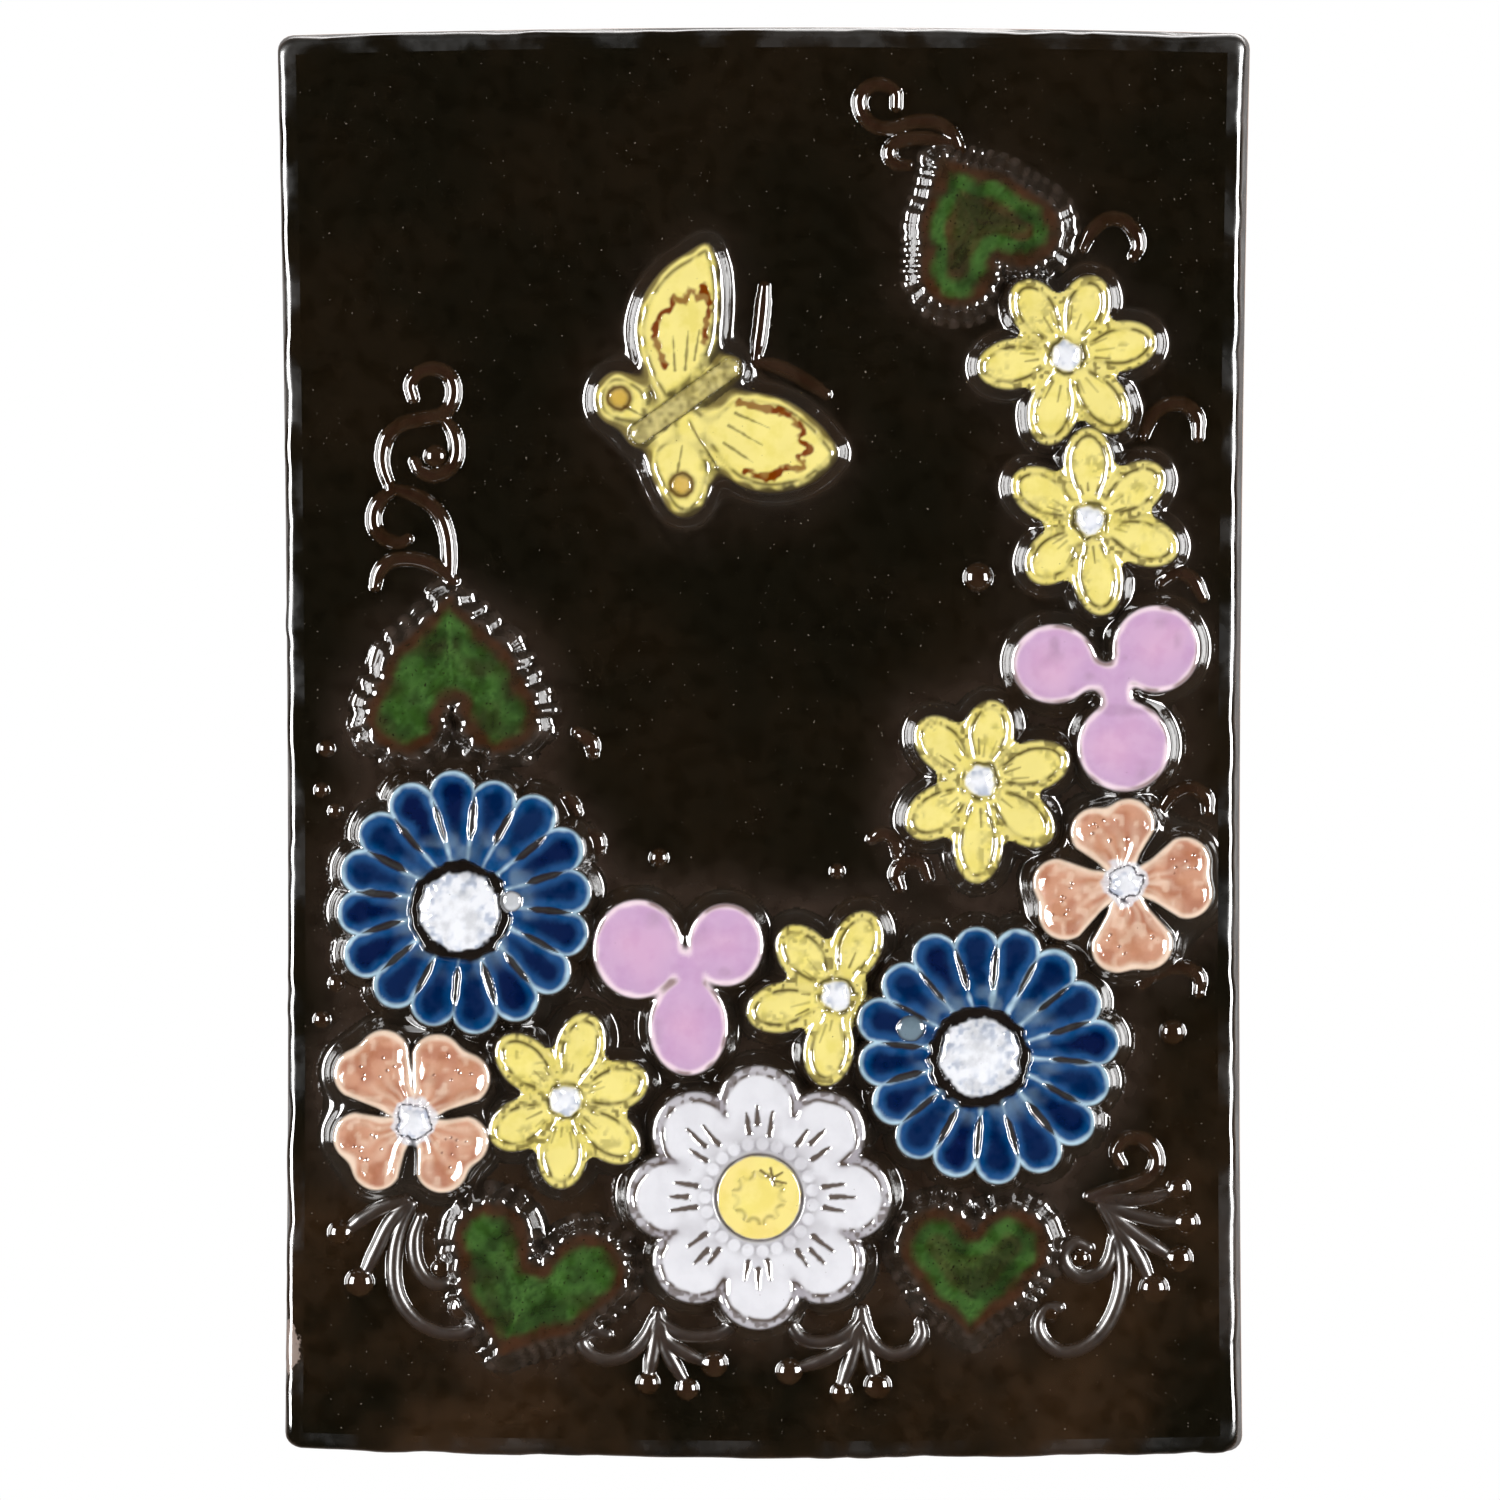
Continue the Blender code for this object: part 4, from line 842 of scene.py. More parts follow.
# Raised scrolls, each a curve through its points, and balls with their radii
RIDGE_HALF_WIDTH = 1.5
RIDGE_HEIGHT = 1.5
RIDGES = [
    [(-71.7, 71.7), (-72.3, 74.6), (-70.4, 77.1), (-67.5, 77.9), (-64.6, 76.7), (-63.3, 73.7),
     (-63.9, 70.4), (-66.0, 68.3), (-70.2, 67.5), (-74.4, 66.2), (-77.1, 63.7), (-78.1, 60.0),
     (-77.7, 56.7), (-76.4, 53.3)],
    [(-65.6, 67.9), (-63.3, 64.6), (-62.7, 60.6), (-63.9, 57.5), (-67.1, 55.8), (-70.2, 56.7),
     (-71.4, 58.7)],
    [(-75.4, 52.9), (-78.3, 51.0), (-79.8, 48.1), (-79.6, 45.0), (-77.5, 42.7), (-74.6, 41.9),
     (-72.9, 42.7)],
    [(-76.4, 53.3), (-72.9, 52.3), (-69.2, 50.6), (-66.4, 47.9), (-65.0, 44.6), (-64.4, 40.8),
     (-64.2, 33.6)],
    [(-63.2, 34.0), (-67.1, 37.1), (-70.2, 38.3), (-73.7, 38.7), (-76.9, 37.9), (-78.9, 35.6),
     (-79.6, 32.9)],
    [(27.9, 131.6), (27.7, 134.6), (25.0, 136.2), (22.1, 135.6), (20.4, 133.1), (21.0, 130.0),
     (23.3, 127.7), (26.7, 127.1), (30.0, 128.1), (33.3, 128.7), (36.7, 128.1), (39.4, 126.0),
     (41.2, 121.9)],
    [(38.6, 124.1), (34.6, 125.0), (30.4, 125.0), (27.5, 123.9), (26.5, 121.9), (27.9, 119.8),
     (30.6, 119.6)],
    [(66.2, 102.5), (67.9, 105.8), (70.8, 108.3), (74.2, 108.3), (76.9, 105.8), (77.7, 102.9),
     (76.7, 100.8)],
    [(78.7, 63.9), (80.4, 67.9), (83.3, 70.2), (87.1, 70.4), (89.8, 67.7), (90.0, 63.7)],
    [(82.5, 33.7), (85.4, 35.8), (88.7, 34.6), (91.0, 30.8)],
    [(82.7, -12.9), (85.0, -9.8), (88.7, -8.5), (91.7, -10.4), (92.1, -13.3)],
    [(78.5, -49.2), (82.5, -46.2), (87.1, -45.4), (90.4, -47.5), (90.4, -50.8)],
    [(74.4, -86.2), (73.3, -83.7), (75.0, -81.2), (78.3, -80.8), (81.0, -82.9), (81.7, -86.2),
     (80.0, -88.9), (76.2, -90.6), (71.7, -91.7), (67.9, -92.9)],
    [(68.8, -93.3), (75.6, -93.7), (80.8, -93.1), (84.6, -91.9)],
    [(69.8, -93.7), (75.6, -96.2), (81.9, -97.9), (86.0, -98.3)],
    [(70.4, -94.6), (75.6, -99.2), (80.8, -102.9), (84.6, -105.2)],
    [(70.4, -95.2), (75.0, -100.8), (78.3, -106.0), (80.2, -110.0)],
    [(70.0, -93.7), (72.9, -99.2), (74.6, -105.0), (74.6, -111.2), (72.9, -117.1), (70.0, -121.6),
     (65.8, -124.6), (61.7, -125.0), (58.3, -122.5), (57.3, -119.1), (58.9, -116.2), (61.7, -116.0)],
    [(72.9, -101.9), (72.1, -106.0), (70.0, -108.7), (66.2, -109.6), (63.3, -107.5), (62.7, -104.6),
     (65.0, -102.5), (67.7, -103.5)],
    [(-73.5, -93.9), (-77.5, -95.2), (-81.7, -97.5), (-85.4, -100.2)],
    [(-73.1, -94.6), (-76.9, -99.2), (-79.6, -104.6), (-82.1, -109.6)],
    [(-72.3, -95.0), (-74.6, -99.8), (-75.8, -105.0), (-75.8, -111.2), (-74.2, -115.8), (-70.8, -119.6),
     (-66.0, -121.6), (-61.2, -121.6), (-57.9, -119.1), (-58.1, -116.0), (-60.4, -114.6)],
    [(-70.4, -97.7), (-71.7, -101.9), (-71.4, -106.6), (-69.6, -110.0), (-66.7, -111.6), (-63.7, -110.8),
     (-63.1, -107.9), (-65.0, -106.0)],
    [(-21.2, -117.1), (-19.6, -122.7), (-16.0, -125.4), (-11.7, -127.5)],
    [(-21.2, -117.5), (-19.6, -124.8), (-16.0, -131.2)],
    [(-21.2, -117.5), (-21.9, -123.7), (-23.1, -130.0)],
    [(-20.8, -118.7), (-17.1, -121.4), (-12.9, -122.1), (-8.7, -121.6), (-6.0, -120.0), (-6.0, -117.9),
     (-8.3, -116.6)],
    [(-22.1, -118.7), (-24.0, -122.7), (-27.1, -125.8), (-31.7, -127.1), (-35.4, -125.8), (-37.1, -123.3),
     (-35.4, -121.2), (-31.7, -121.9)],
    [(20.8, -116.6), (20.0, -121.2), (14.6, -126.2), (7.9, -128.7)],
    [(20.8, -116.6), (19.4, -124.8), (16.9, -132.1)],
    [(21.0, -116.6), (22.1, -124.8), (23.7, -130.8)],
    [(20.4, -118.7), (17.3, -121.9), (12.5, -123.3), (8.5, -122.5), (6.5, -120.0), (7.3, -117.7)],
    [(21.5, -119.6), (23.5, -123.7), (27.3, -125.8), (31.2, -124.8), (33.3, -121.9), (33.1, -119.1)],
    [(-37.9, 2.9), (-35.0, 0.8), (-34.6, -1.7)],
    [(-41.1, -10.6), (-39.6, -11.2), (-37.9, -13.7)],
    [(-35.7, -17.9), (-33.7, -19.2), (-33.3, -21.7)],
    [(22.9, -19.2), (25.4, -17.9), (27.9, -19.6), (28.3, -22.5)],
    [(28.7, -29.2), (27.9, -26.2), (30.0, -23.7), (33.3, -24.2), (34.6, -27.1)],
    [(-1.0, 79.8), (-0.2, 84.6), (0.4, 89.8), (0.8, 94.6)],
    [(-1.0, 79.0), (3.3, 78.3), (8.5, 75.8), (13.5, 72.5)],
]
BALL_RISE = 0.8
BALLS = [
    (-67.1, 59.8, 2.3), (44.8, 34.8, 2.9), (85.0, -58.9, 2.5), (86.2, -91.2, 2.3), (87.9, -98.3, 2.5),
    (86.4, -105.8, 2.7), (81.2, -111.9, 2.9), (60.0, -117.1, 1.7), (66.0, -105.8, 1.9), (-87.1, -101.0, 2.5),
    (-83.1, -111.2, 2.9), (-62.1, -116.4, 2.5), (-66.2, -108.3, 1.9), (-9.6, -127.9, 2.7),
    (-15.2, -133.1, 2.3), (-23.3, -131.9, 2.3), (6.0, -129.4, 2.7), (16.7, -133.7, 2.1), (24.2, -132.3, 2.7),
    (-89.8, -0.6, 1.7), (-90.8, -9.2, 1.5), (-87.9, -13.5, 1.5), (-87.7, -49.2, 1.7), (-90.8, -56.7, 1.7),
    (-21.0, -23.1, 1.9), (15.8, -25.8, 1.5),
]


def scrollwork(number):
    for points in RIDGES:
        line = smooth_line(points, False, 4)
        middle = (np.min(line, axis=0) + np.max(line, axis=0)) / 2
        reach = max(np.max(line, axis=0) - np.min(line, axis=0)) / 2 + 5
        win = window(middle, reach)
        distance, along = line_distance(U[win], V[win], line)
        taper = 0.75 + 0.25 * smooth(0.0, 0.25, along) * smooth(1.0, 0.75, along)
        width = RIDGE_HALF_WIDTH * taper
        section = np.clip(1 - (distance / width) ** 2, 0, 1)
        d = distance - width
        h = RIDGE_HEIGHT * taper * np.sqrt(section) - 0.9 * np.maximum(d, 0)
        thin = smooth(0.55, 0.95, section) * (0.3 + 0.7 * cloud(2.5, 95, win))
        dulled = smooth(-84, -96, V[win])
        lay(win, number, d + 1.0, h, blend(GROUND_BROWN, RIDGE_BROWN, thin), 0.06 + 0.24 * dulled)
    for u, v, radius in BALLS:
        win = window((u, v), radius + 5)
        du, dv, distance = centred(win, (u, v))
        h = boss(du, dv, radius, 0, radius * BALL_RISE) - 0.9 * np.maximum(distance - radius, 0)
        colour = blend(GROUND_BROWN, RIDGE_BROWN, smooth(radius, 0, distance) * 0.6)
        lay(win, number, distance - radius + 0.9, h, colour, 0.05)


def spread_out(mask, reach):
    """A soft copy of a mask, spread by about reach on every side."""
    half = int(reach / PITCH_U)
    out = mask.astype(float)
    for axis in (0, 1, 0, 1):
        padding = [(half + 1, half) if a == axis else (0, 0) for a in (0, 1)]
        total = np.cumsum(np.pad(out, padding), axis=axis)
        size = out.shape[axis]
        high = np.take(total, range(2 * half + 1, 2 * half + 1 + size), axis=axis)
        low = np.take(total, range(size), axis=axis)
        out = (high - low) / (2 * half + 1)
    return np.clip(out * 2.2, 0, 1)


def make_relief():
    """Works out the whole face, from the ground up."""
    tint[:] = GROUND
    scrollwork(new_piece("scrollwork"))
    for kind, motif, places in (("leaf", leaf, LEAVES), ("lilac_flower", lilac_flower, LILAC_FLOWERS),
                                ("salmon_flower", salmon_flower, SALMON_FLOWERS),
                                ("yellow_flower", yellow_flower, YELLOW_FLOWERS),
                                ("blue_flower", blue_flower, BLUE_FLOWERS)):
        for i, values in enumerate(places):
            motif(new_piece(f"{kind}_{i + 1}"), *values)
    daisy(new_piece("daisy"))
    butterfly(new_piece("butterfly"))
    near = spread_out(owner > 1, 5.0) * (0.25 + 0.65 * cloud(9.0, 2)) * (0.25 + 0.75 * smooth(60, -10, V))
    grain[:] = np.where(owner == 0, near, 0.0)
    tint[:] = blend(tint, NEAR_BROWN, np.where(owner == 0, near, 0.4 * near * (owner == 1)))


def block_max(values, size):
    tall, wide = values.shape
    return values.reshape(tall // size, size, wide // size, size).max(axis=(1, 3))


def flatness(values, size):
    """How far the values in each block stray from the plane through its corners."""
    corners = values[::size, ::size]
    t = np.linspace(0, 1, size + 1)
    worst = np.zeros((corners.shape[0] - 1, corners.shape[1] - 1))
    for i in range(size + 1):
        left = corners[:-1, :-1] * (1 - t[i]) + corners[1:, :-1] * t[i]
        right = corners[:-1, 1:] * (1 - t[i]) + corners[1:, 1:] * t[i]
        row = values[i::size][:worst.shape[0]]
        for j in range(size + 1):
            here = row[:, j::size][:, :worst.shape[1]]
            worst = np.maximum(worst, np.abs(here - left * (1 - t[j]) - right * t[j]))
    return worst


def choose_cells():
    """Which blocks of the grid to split at each level, no two neighbours more than one level apart."""
    slope_v, slope_u = np.gradient(height, PITCH_V, PITCH_U)
    fine = 1 + 0.9 * (owner == 1)  # the scrolls' ridges take smaller cells
    channels = [(height, HEIGHT_STEP), (slope_u * fine, SLOPE_STEP), (slope_v * fine, SLOPE_STEP)]
    channels += [(tint[..., k] ** 0.45, COLOUR_STEP) for k in range(3)]
    split = {}
    for level in range(1, TOP_LEVEL + 1):
        size = 2 ** level
        worst = sum((flatness(values, size) / step) ** 2 for values, step in channels)
        split[level] = worst > 1
        inside = owner[:-1, :-1]
        mixed = block_max(inside, size) != -block_max(-inside, size)
        if level > 2:
            split[level] |= mixed
        if level > EDGE_LEVEL:
            split[level][[0, -1], :] = True
            split[level][:, [0, -1]] = True
    for level in range(2, TOP_LEVEL + 1):
        below = split[level - 1]
        beside = [np.roll(below, shift, axis) for shift in (1, -1) for axis in (0, 1)]
        split[level] |= block_max(np.any([below] + beside, axis=0).astype(int), 2) > 0
    return split, slope_u, slope_v


def cell_faces(split):
    """Corner lists of every cell as (owner, corners), as arrays of quads and of triangles."""
    width = columns + 1
    quads, triangles = [], []
    exists = np.ones_like(split[TOP_LEVEL])
    for level in range(TOP_LEVEL, -1, -1):
        size = 2 ** level
        cut = split[level] if level else np.zeros_like(exists)
        leaf_cells = exists & ~cut
        i, j = np.nonzero(leaf_cells)
        base = i * size * width + j * size
        half = max(size // 2, 1)
        own = owner[i * size + size // 2, j * size + size // 2]
        ring = [base, base + size, base + size + size * width, base + size * width]
        if level:
            padded = np.pad(cut & exists, 1)
            finer = [padded[i, j + 1], padded[i + 1, j + 2], padded[i + 2, j + 1], padded[i + 1, j]]
            middles = [base + half, base + size + half * width, base + half + size * width,
                       base + half * width]
            centre = base + half + half * width
            plain = ~np.any(finer, axis=0)
            quads.append(np.stack([own[plain]] + [c[plain] for c in ring], axis=1))
            fan = ~plain
            for side in range(4):
                a, b = ring[side], ring[(side + 1) % 4]
                whole = fan & ~finer[side]
                triangles.append(np.stack([own, a, b, centre], axis=1)[whole])
                halved = fan & finer[side]
                triangles.append(np.stack([own, a, middles[side], centre], axis=1)[halved])
                triangles.append(np.stack([own, middles[side], b, centre], axis=1)[halved])
            exists = np.kron(cut & exists, np.ones((2, 2), bool))
        else:
            quads.append(np.stack([own] + ring, axis=1))
    return np.concatenate(quads), np.concatenate(triangles)


def mesh_from(name, points, quads, triangles):
    mesh = bpy.data.meshes.new(name)
    mesh.vertices.add(len(points))
    mesh.vertices.foreach_set("co", points.ravel())
    corners = np.concatenate([quads.ravel(), triangles.ravel()])
    mesh.loops.add(len(corners))
    mesh.loops.foreach_set("vertex_index", corners.astype(np.int32))
    sizes = np.concatenate([np.full(len(quads), 4), np.full(len(triangles), 3)])
    mesh.polygons.add(len(sizes))
    mesh.polygons.foreach_set("loop_start", np.concatenate([[0], np.cumsum(sizes)[:-1]]).astype(np.int32))
    mesh.polygons.foreach_set("use_smooth", np.ones(len(sizes), bool))
    mesh.update(calc_edges=True)
    mesh.validate()
    return mesh


def add_piece(name, mesh, material):
    made = bpy.data.objects.new(name, mesh)
    bpy.context.scene.collection.objects.link(made)
    made.data.materials.append(material)
    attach(made, "root")
    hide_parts("plaque")
    return made


def relief_pieces(quads, triangles, slope_u, slope_v, materials):
    """One mesh for each motif, with the surface's own slope as its normals."""
    flat_u, flat_v, flat_h = U.ravel(), V.ravel(), height.ravel() + THICKNESS
    normals = np.stack([-slope_u.ravel(), -np.ones(slope_u.size), -slope_v.ravel()], axis=1)
    normals /= np.linalg.norm(normals, axis=1)[:, None]
    colours = tint.reshape(-1, 3)
    for number, name in enumerate(piece_names):
        mine = quads[quads[:, 0] == number, 1:]
        thirds = triangles[triangles[:, 0] == number, 1:]
        used, index = np.unique(np.concatenate([mine.ravel(), thirds.ravel()]), return_inverse=True)
        index = index.ravel()
        points = to_world(flat_u[used], flat_v[used], flat_h[used])
        mesh = mesh_from(name, points, index[:mine.size].reshape(-1, 4), index[mine.size:].reshape(-1, 3))
        mesh.normals_split_custom_set_from_vertices(normals[used].tolist())
        paint = mesh.attributes.new("tint", "FLOAT_COLOR", "POINT")
        paint.data.foreach_set("color", np.c_[colours[used], np.ones(len(used))].ravel())
        for label, values in (("gloss", rough), ("grain", grain)):
            layer = mesh.attributes.new(label, "FLOAT", "POINT")
            layer.data.foreach_set("value", values.ravel()[used])
        add_piece(name, mesh, materials[name.rstrip("_0123456789")])


def slab_outline(inset, fractions_u, fractions_v):
    """The slab's outline, drawn in by inset, with its straight parts divided at given fractions.

    At the relief grid's own edge the corners are sharp, and each is repeated to match the round ones.
    """
    half_u, half_v = HALF_WIDTH - inset, HALF_HEIGHT - inset
    if inset == MARGIN:
        radius = 0
    else:
        radius = RECESS_CORNER if inset > MARGIN else CORNER_RADIUS
    out = []
    for sign_u, sign_v, quarter in ((1, 1, 1), (1, -1, 0), (-1, -1, -1), (-1, 1, 2)):
        middle = (sign_u * (half_u - radius), sign_v * (half_v - radius))
        for k in range(CORNER_STEPS + 1):
            turn = quarter * math.pi / 2 - math.pi / 2 * k / CORNER_STEPS
            out.append((middle[0] + radius * math.cos(turn), middle[1] + radius * math.sin(turn)))
        if sign_u == sign_v:
            out += [(sign_u * half_u, f * (half_v - radius)) for f in fractions_v[::-sign_v]]
        else:
            out += [(f * (half_u - radius), sign_v * half_v) for f in fractions_u[::sign_v]]
    return bowed(*np.array(out).T)


def uneven(u, v):
    """Draws the front edge in a little, more in some places than in others."""
    depth = 0.45 * cloud_at(u, v, 11.0, 201) + 0.4 * cloud_at(u, v, 4.0, 202) ** 2
    beside = smooth(6.0, 1.0, HALF_WIDTH - np.abs(u))
    over = smooth(6.0, 1.0, HALF_HEIGHT - np.abs(v))
    return u - np.sign(u) * beside * depth, v - np.sign(v) * over * depth


def edge_fractions(used):
    """Where the relief's corners in use lie along the grid's edges, from -1 to 1, across and up."""
    row, column = np.divmod(used, columns + 1)
    across = np.unique(column[(row == 0) | (row == rows)])[1:-1]
    up = np.unique(row[(column == 0) | (column == columns)])[1:-1]
    fractions_u = straight_u[0, across] / (HALF_WIDTH - MARGIN)
    return fractions_u.tolist(), (straight_v[up, 0] / (HALF_HEIGHT - MARGIN)).tolist()


def slab_levels():
    """The slab's outlines as (inset, height), from the relief's border round to the recess."""
    levels = [(MARGIN, THICKNESS - POCKET), (MARGIN, THICKNESS)]
    for k in range(ROUND_STEPS, -1, -1):
        turn = math.pi / 2 * k / ROUND_STEPS
        levels.append((SIDE_DRAFT + EDGE_ROUND * (1 - math.cos(turn)),
                       THICKNESS - EDGE_ROUND * (1 - math.sin(turn))))
    for k in range(BACK_STEPS + 1):
        turn = math.pi / 2 * k / BACK_STEPS
        levels.append((BACK_ROUND * (1 - math.cos(turn)), BACK_ROUND * (1 - math.sin(turn))))
    slope = RECESS_DRAFT / RECESS_DEPTH
    bevel = 0.25 * RECESS_EDGE
    return levels + [
        (BACK_RIM - RECESS_EDGE, 0.0),
        (BACK_RIM - bevel, bevel),
        (BACK_RIM + slope * RECESS_EDGE, RECESS_EDGE),
        (BACK_RIM + slope * (RECESS_DEPTH - RECESS_EDGE), RECESS_DEPTH - RECESS_EDGE),
        (BACK_RIM + RECESS_DRAFT + bevel, RECESS_DEPTH - bevel),
        (BACK_RIM + RECESS_DRAFT + RECESS_EDGE, RECESS_DEPTH),
    ]


def slab_body(used, material):
    """The slab under the relief: its edge, its back with the recess, and the hanging slot."""
    fractions = edge_fractions(used)
    bm = bmesh.new()
    loops = []
    for inset, h in slab_levels():
        u, v = slab_outline(inset, *fractions)
        if inset < MARGIN and h > THICKNESS / 2:
            u, v = uneven(u, v)
        loops.append([bm.verts.new(place) for place in to_world(u, v, np.full(u.shape, h))])
    for a, b in zip(loops, loops[1:]):
        for i in range(len(a)):
            j = (i + 1) % len(a)
            bm.faces.new((a[i], a[j], b[j], b[i]))
    bm.faces.new(loops[0])
    bm.faces.new(list(reversed(loops[-1])))
    bmesh.ops.remove_doubles(bm, verts=bm.verts, dist=1e-7)
    bmesh.ops.recalc_face_normals(bm, faces=bm.faces)
    mesh = bpy.data.meshes.new("slab")
    bm.to_mesh(mesh)
    bm.free()
    made = add_piece("slab", mesh, material)
    cut_slot(made)
    shade_by_angle(made.data, SHARP_ANGLE)


def cut_slot(slab):
    bpy.ops.mesh.primitive_cube_add(size=1)
    cutter = bpy.context.object
    overrun = 2.0  # past the slab's back
    rise = SLOT_RISE + 6.0  # down past the rim's inner edge
    cutter.scale = (SLOT_WIDTH * MM, (SLOT_DEPTH + overrun) * MM, rise * MM)
    cutter.location = (0, (BACK_Y - (SLOT_DEPTH - overrun) / 2) * MM, -rise / 2 * MM)
    step = slab.modifiers.new("slot", "BOOLEAN")
    step.operation = "DIFFERENCE"
    step.solver = "EXACT"
    step.object = cutter
    bpy.context.view_layer.update()
    graph = bpy.context.evaluated_depsgraph_get()
    result = bpy.data.meshes.new_from_object(slab.evaluated_get(graph))
    slab.modifiers.clear()
    slab.data = result
    slab.data.name = "slab"
    bpy.data.objects.remove(cutter)


def shade_by_angle(mesh, angle):
    bm = bmesh.new()
    bm.from_mesh(mesh)
    for face in bm.faces:
        face.smooth = True
    for edge in bm.edges:
        edge.smooth = len(edge.link_faces) == 2 and edge.calc_face_angle(0) < angle
    bm.to_mesh(mesh)
    bm.free()


# Materials
WORN_PLACE = (-0.0992, -0.0118, -0.2667)  # on the left edge, in metres
WORN_SLIMNESS = 0.64
GLAZE_IOR = 1.62


def new_material(name):
    material = bpy.data.materials.new(name)
    material.use_nodes = True
    return material, material.node_tree, material.node_tree.nodes["Principled BSDF"]


def feed(tree, socket, value):
    """Sets a socket to a number or a colour, or links an output to it."""
    if isinstance(value, bpy.types.NodeSocket):
        tree.links.new(value, socket)
    elif isinstance(value, np.ndarray):
        socket.default_value = (*value, 1)
    else:
        socket.default_value = value


def node(tree, kind, sockets, **settings):
    """A new node with its settings, and with the sockets fed that are listed by name or number."""
    made = tree.nodes.new("ShaderNode" + kind)
    for key, value in settings.items():
        setattr(made, key, value)
    for key, value in sockets.items():
        feed(tree, made.inputs[key], value)
    return made.outputs


def coordinates(tree):
    """Coordinates on the object, as a vector and apart."""
    vector = node(tree, "TexCoord", {})["Object"]
    return vector, node(tree, "SeparateXYZ", {"Vector": vector})


def noise(tree, scale, detail, roughness=0.5):
    vector = node(tree, "TexCoord", {})["Object"]
    sockets = {"Vector": vector, "Scale": scale, "Detail": detail, "Roughness": roughness}
    return node(tree, "TexNoise", sockets)["Fac"]


def remap(tree, value, low, high, to_low=0, to_high=1):
    sockets = {"Value": value, "From Min": low, "From Max": high, "To Min": to_low, "To Max": to_high}
    return node(tree, "MapRange", sockets, interpolation_type="SMOOTHSTEP")["Result"]


def arithmetic(tree, operation, a, b):
    return node(tree, "Math", {0: a, 1: b}, operation=operation)["Value"]


def painted(tree, name):
    """A value or colour that the mesh carries."""
    return node(tree, "Attribute", {}, attribute_name=name)


def mix_colour(tree, factor, a, b):
    return node(tree, "Mix", {"Factor": factor, 6: a, 7: b}, data_type="RGBA")[2]


def brown_clouds(tree, colour):
    """Warmer patches in the dark glaze, stronger towards the plaque's bottom."""
    _, axes = coordinates(tree)
    low = remap(tree, axes["Z"], -0.17, -0.27, 0, 0.8)
    patchy = remap(tree, noise(tree, 22, 4, 0.6), 0.36, 0.66)
    share = arithmetic(tree, "MULTIPLY", patchy, arithmetic(tree, "ADD", low, 0.2))
    return mix_colour(tree, share, colour, GROUND_BROWN)


def glaze_surface(tree, shader, gloss, bump, grain_height):
    """A shiny, slightly uneven surface."""
    ripple = remap(tree, noise(tree, 500, 3), 0.3, 0.7, -0.02, 0.03)
    feed(tree, shader.inputs["Roughness"], arithmetic(tree, "ADD", ripple, gloss))
    height_map = arithmetic(tree, "MULTIPLY", noise(tree, 150, 2), bump)
    height_map = arithmetic(tree, "ADD", height_map, grain_height)
    relief = node(tree, "Bump", {"Strength": 0.6, "Distance": 0.0009, "Height": height_map})
    feed(tree, shader.inputs["Normal"], relief["Normal"])
    shader.inputs["IOR"].default_value = GLAZE_IOR


def painted_glaze(name, mottling, speck_colour, speck_share, bump):
    """Glossy glaze over the painted colours, with mottling and specks."""
    material, tree, shader = new_material(name)
    colour = painted(tree, "tint")["Color"]
    if name.startswith("dark"):
        colour = brown_clouds(tree, colour)
    darker = node(tree, "HueSaturation", {"Value": 1 - mottling, "Saturation": 1.08, "Color": colour})
    mottled = remap(tree, noise(tree, 260, 5), 0.42, 0.68)
    colour = mix_colour(tree, mottled, colour, darker["Color"])
    specks = remap(tree, noise(tree, 1500, 2), 1 - speck_share, 1 - speck_share + 0.04, 0, 0.85)
    feed(tree, shader.inputs["Base Color"], mix_colour(tree, specks, colour, speck_colour))
    stipple = arithmetic(tree, "MULTIPLY", painted(tree, "grain")["Fac"], 0.3)
    coarse = arithmetic(tree, "MULTIPLY", noise(tree, 1700, 3, 0.6), stipple)
    glaze_surface(tree, shader, painted(tree, "gloss")["Fac"], bump, coarse)
    return material


def worn_glaze(tree, vector, glaze):
    """The dark glaze with the pale worn place on the left edge."""
    moved = node(tree, "Mapping", {"Vector": vector, "Location": tuple(-c for c in WORN_PLACE)})["Vector"]
    oblong = node(tree, "VectorMath", {0: moved, 1: (1, 1, WORN_SLIMNESS)}, operation="MULTIPLY")
    reach = node(tree, "VectorMath", {0: oblong["Vector"]}, operation="LENGTH")["Value"]
    ragged = arithmetic(tree, "MULTIPLY", noise(tree, 700, 4), 0.004)
    share = remap(tree, arithmetic(tree, "ADD", reach, ragged), 0.0060, 0.0056, 0, 0.9)
    return mix_colour(tree, share, glaze, rgb(150, 133, 124))


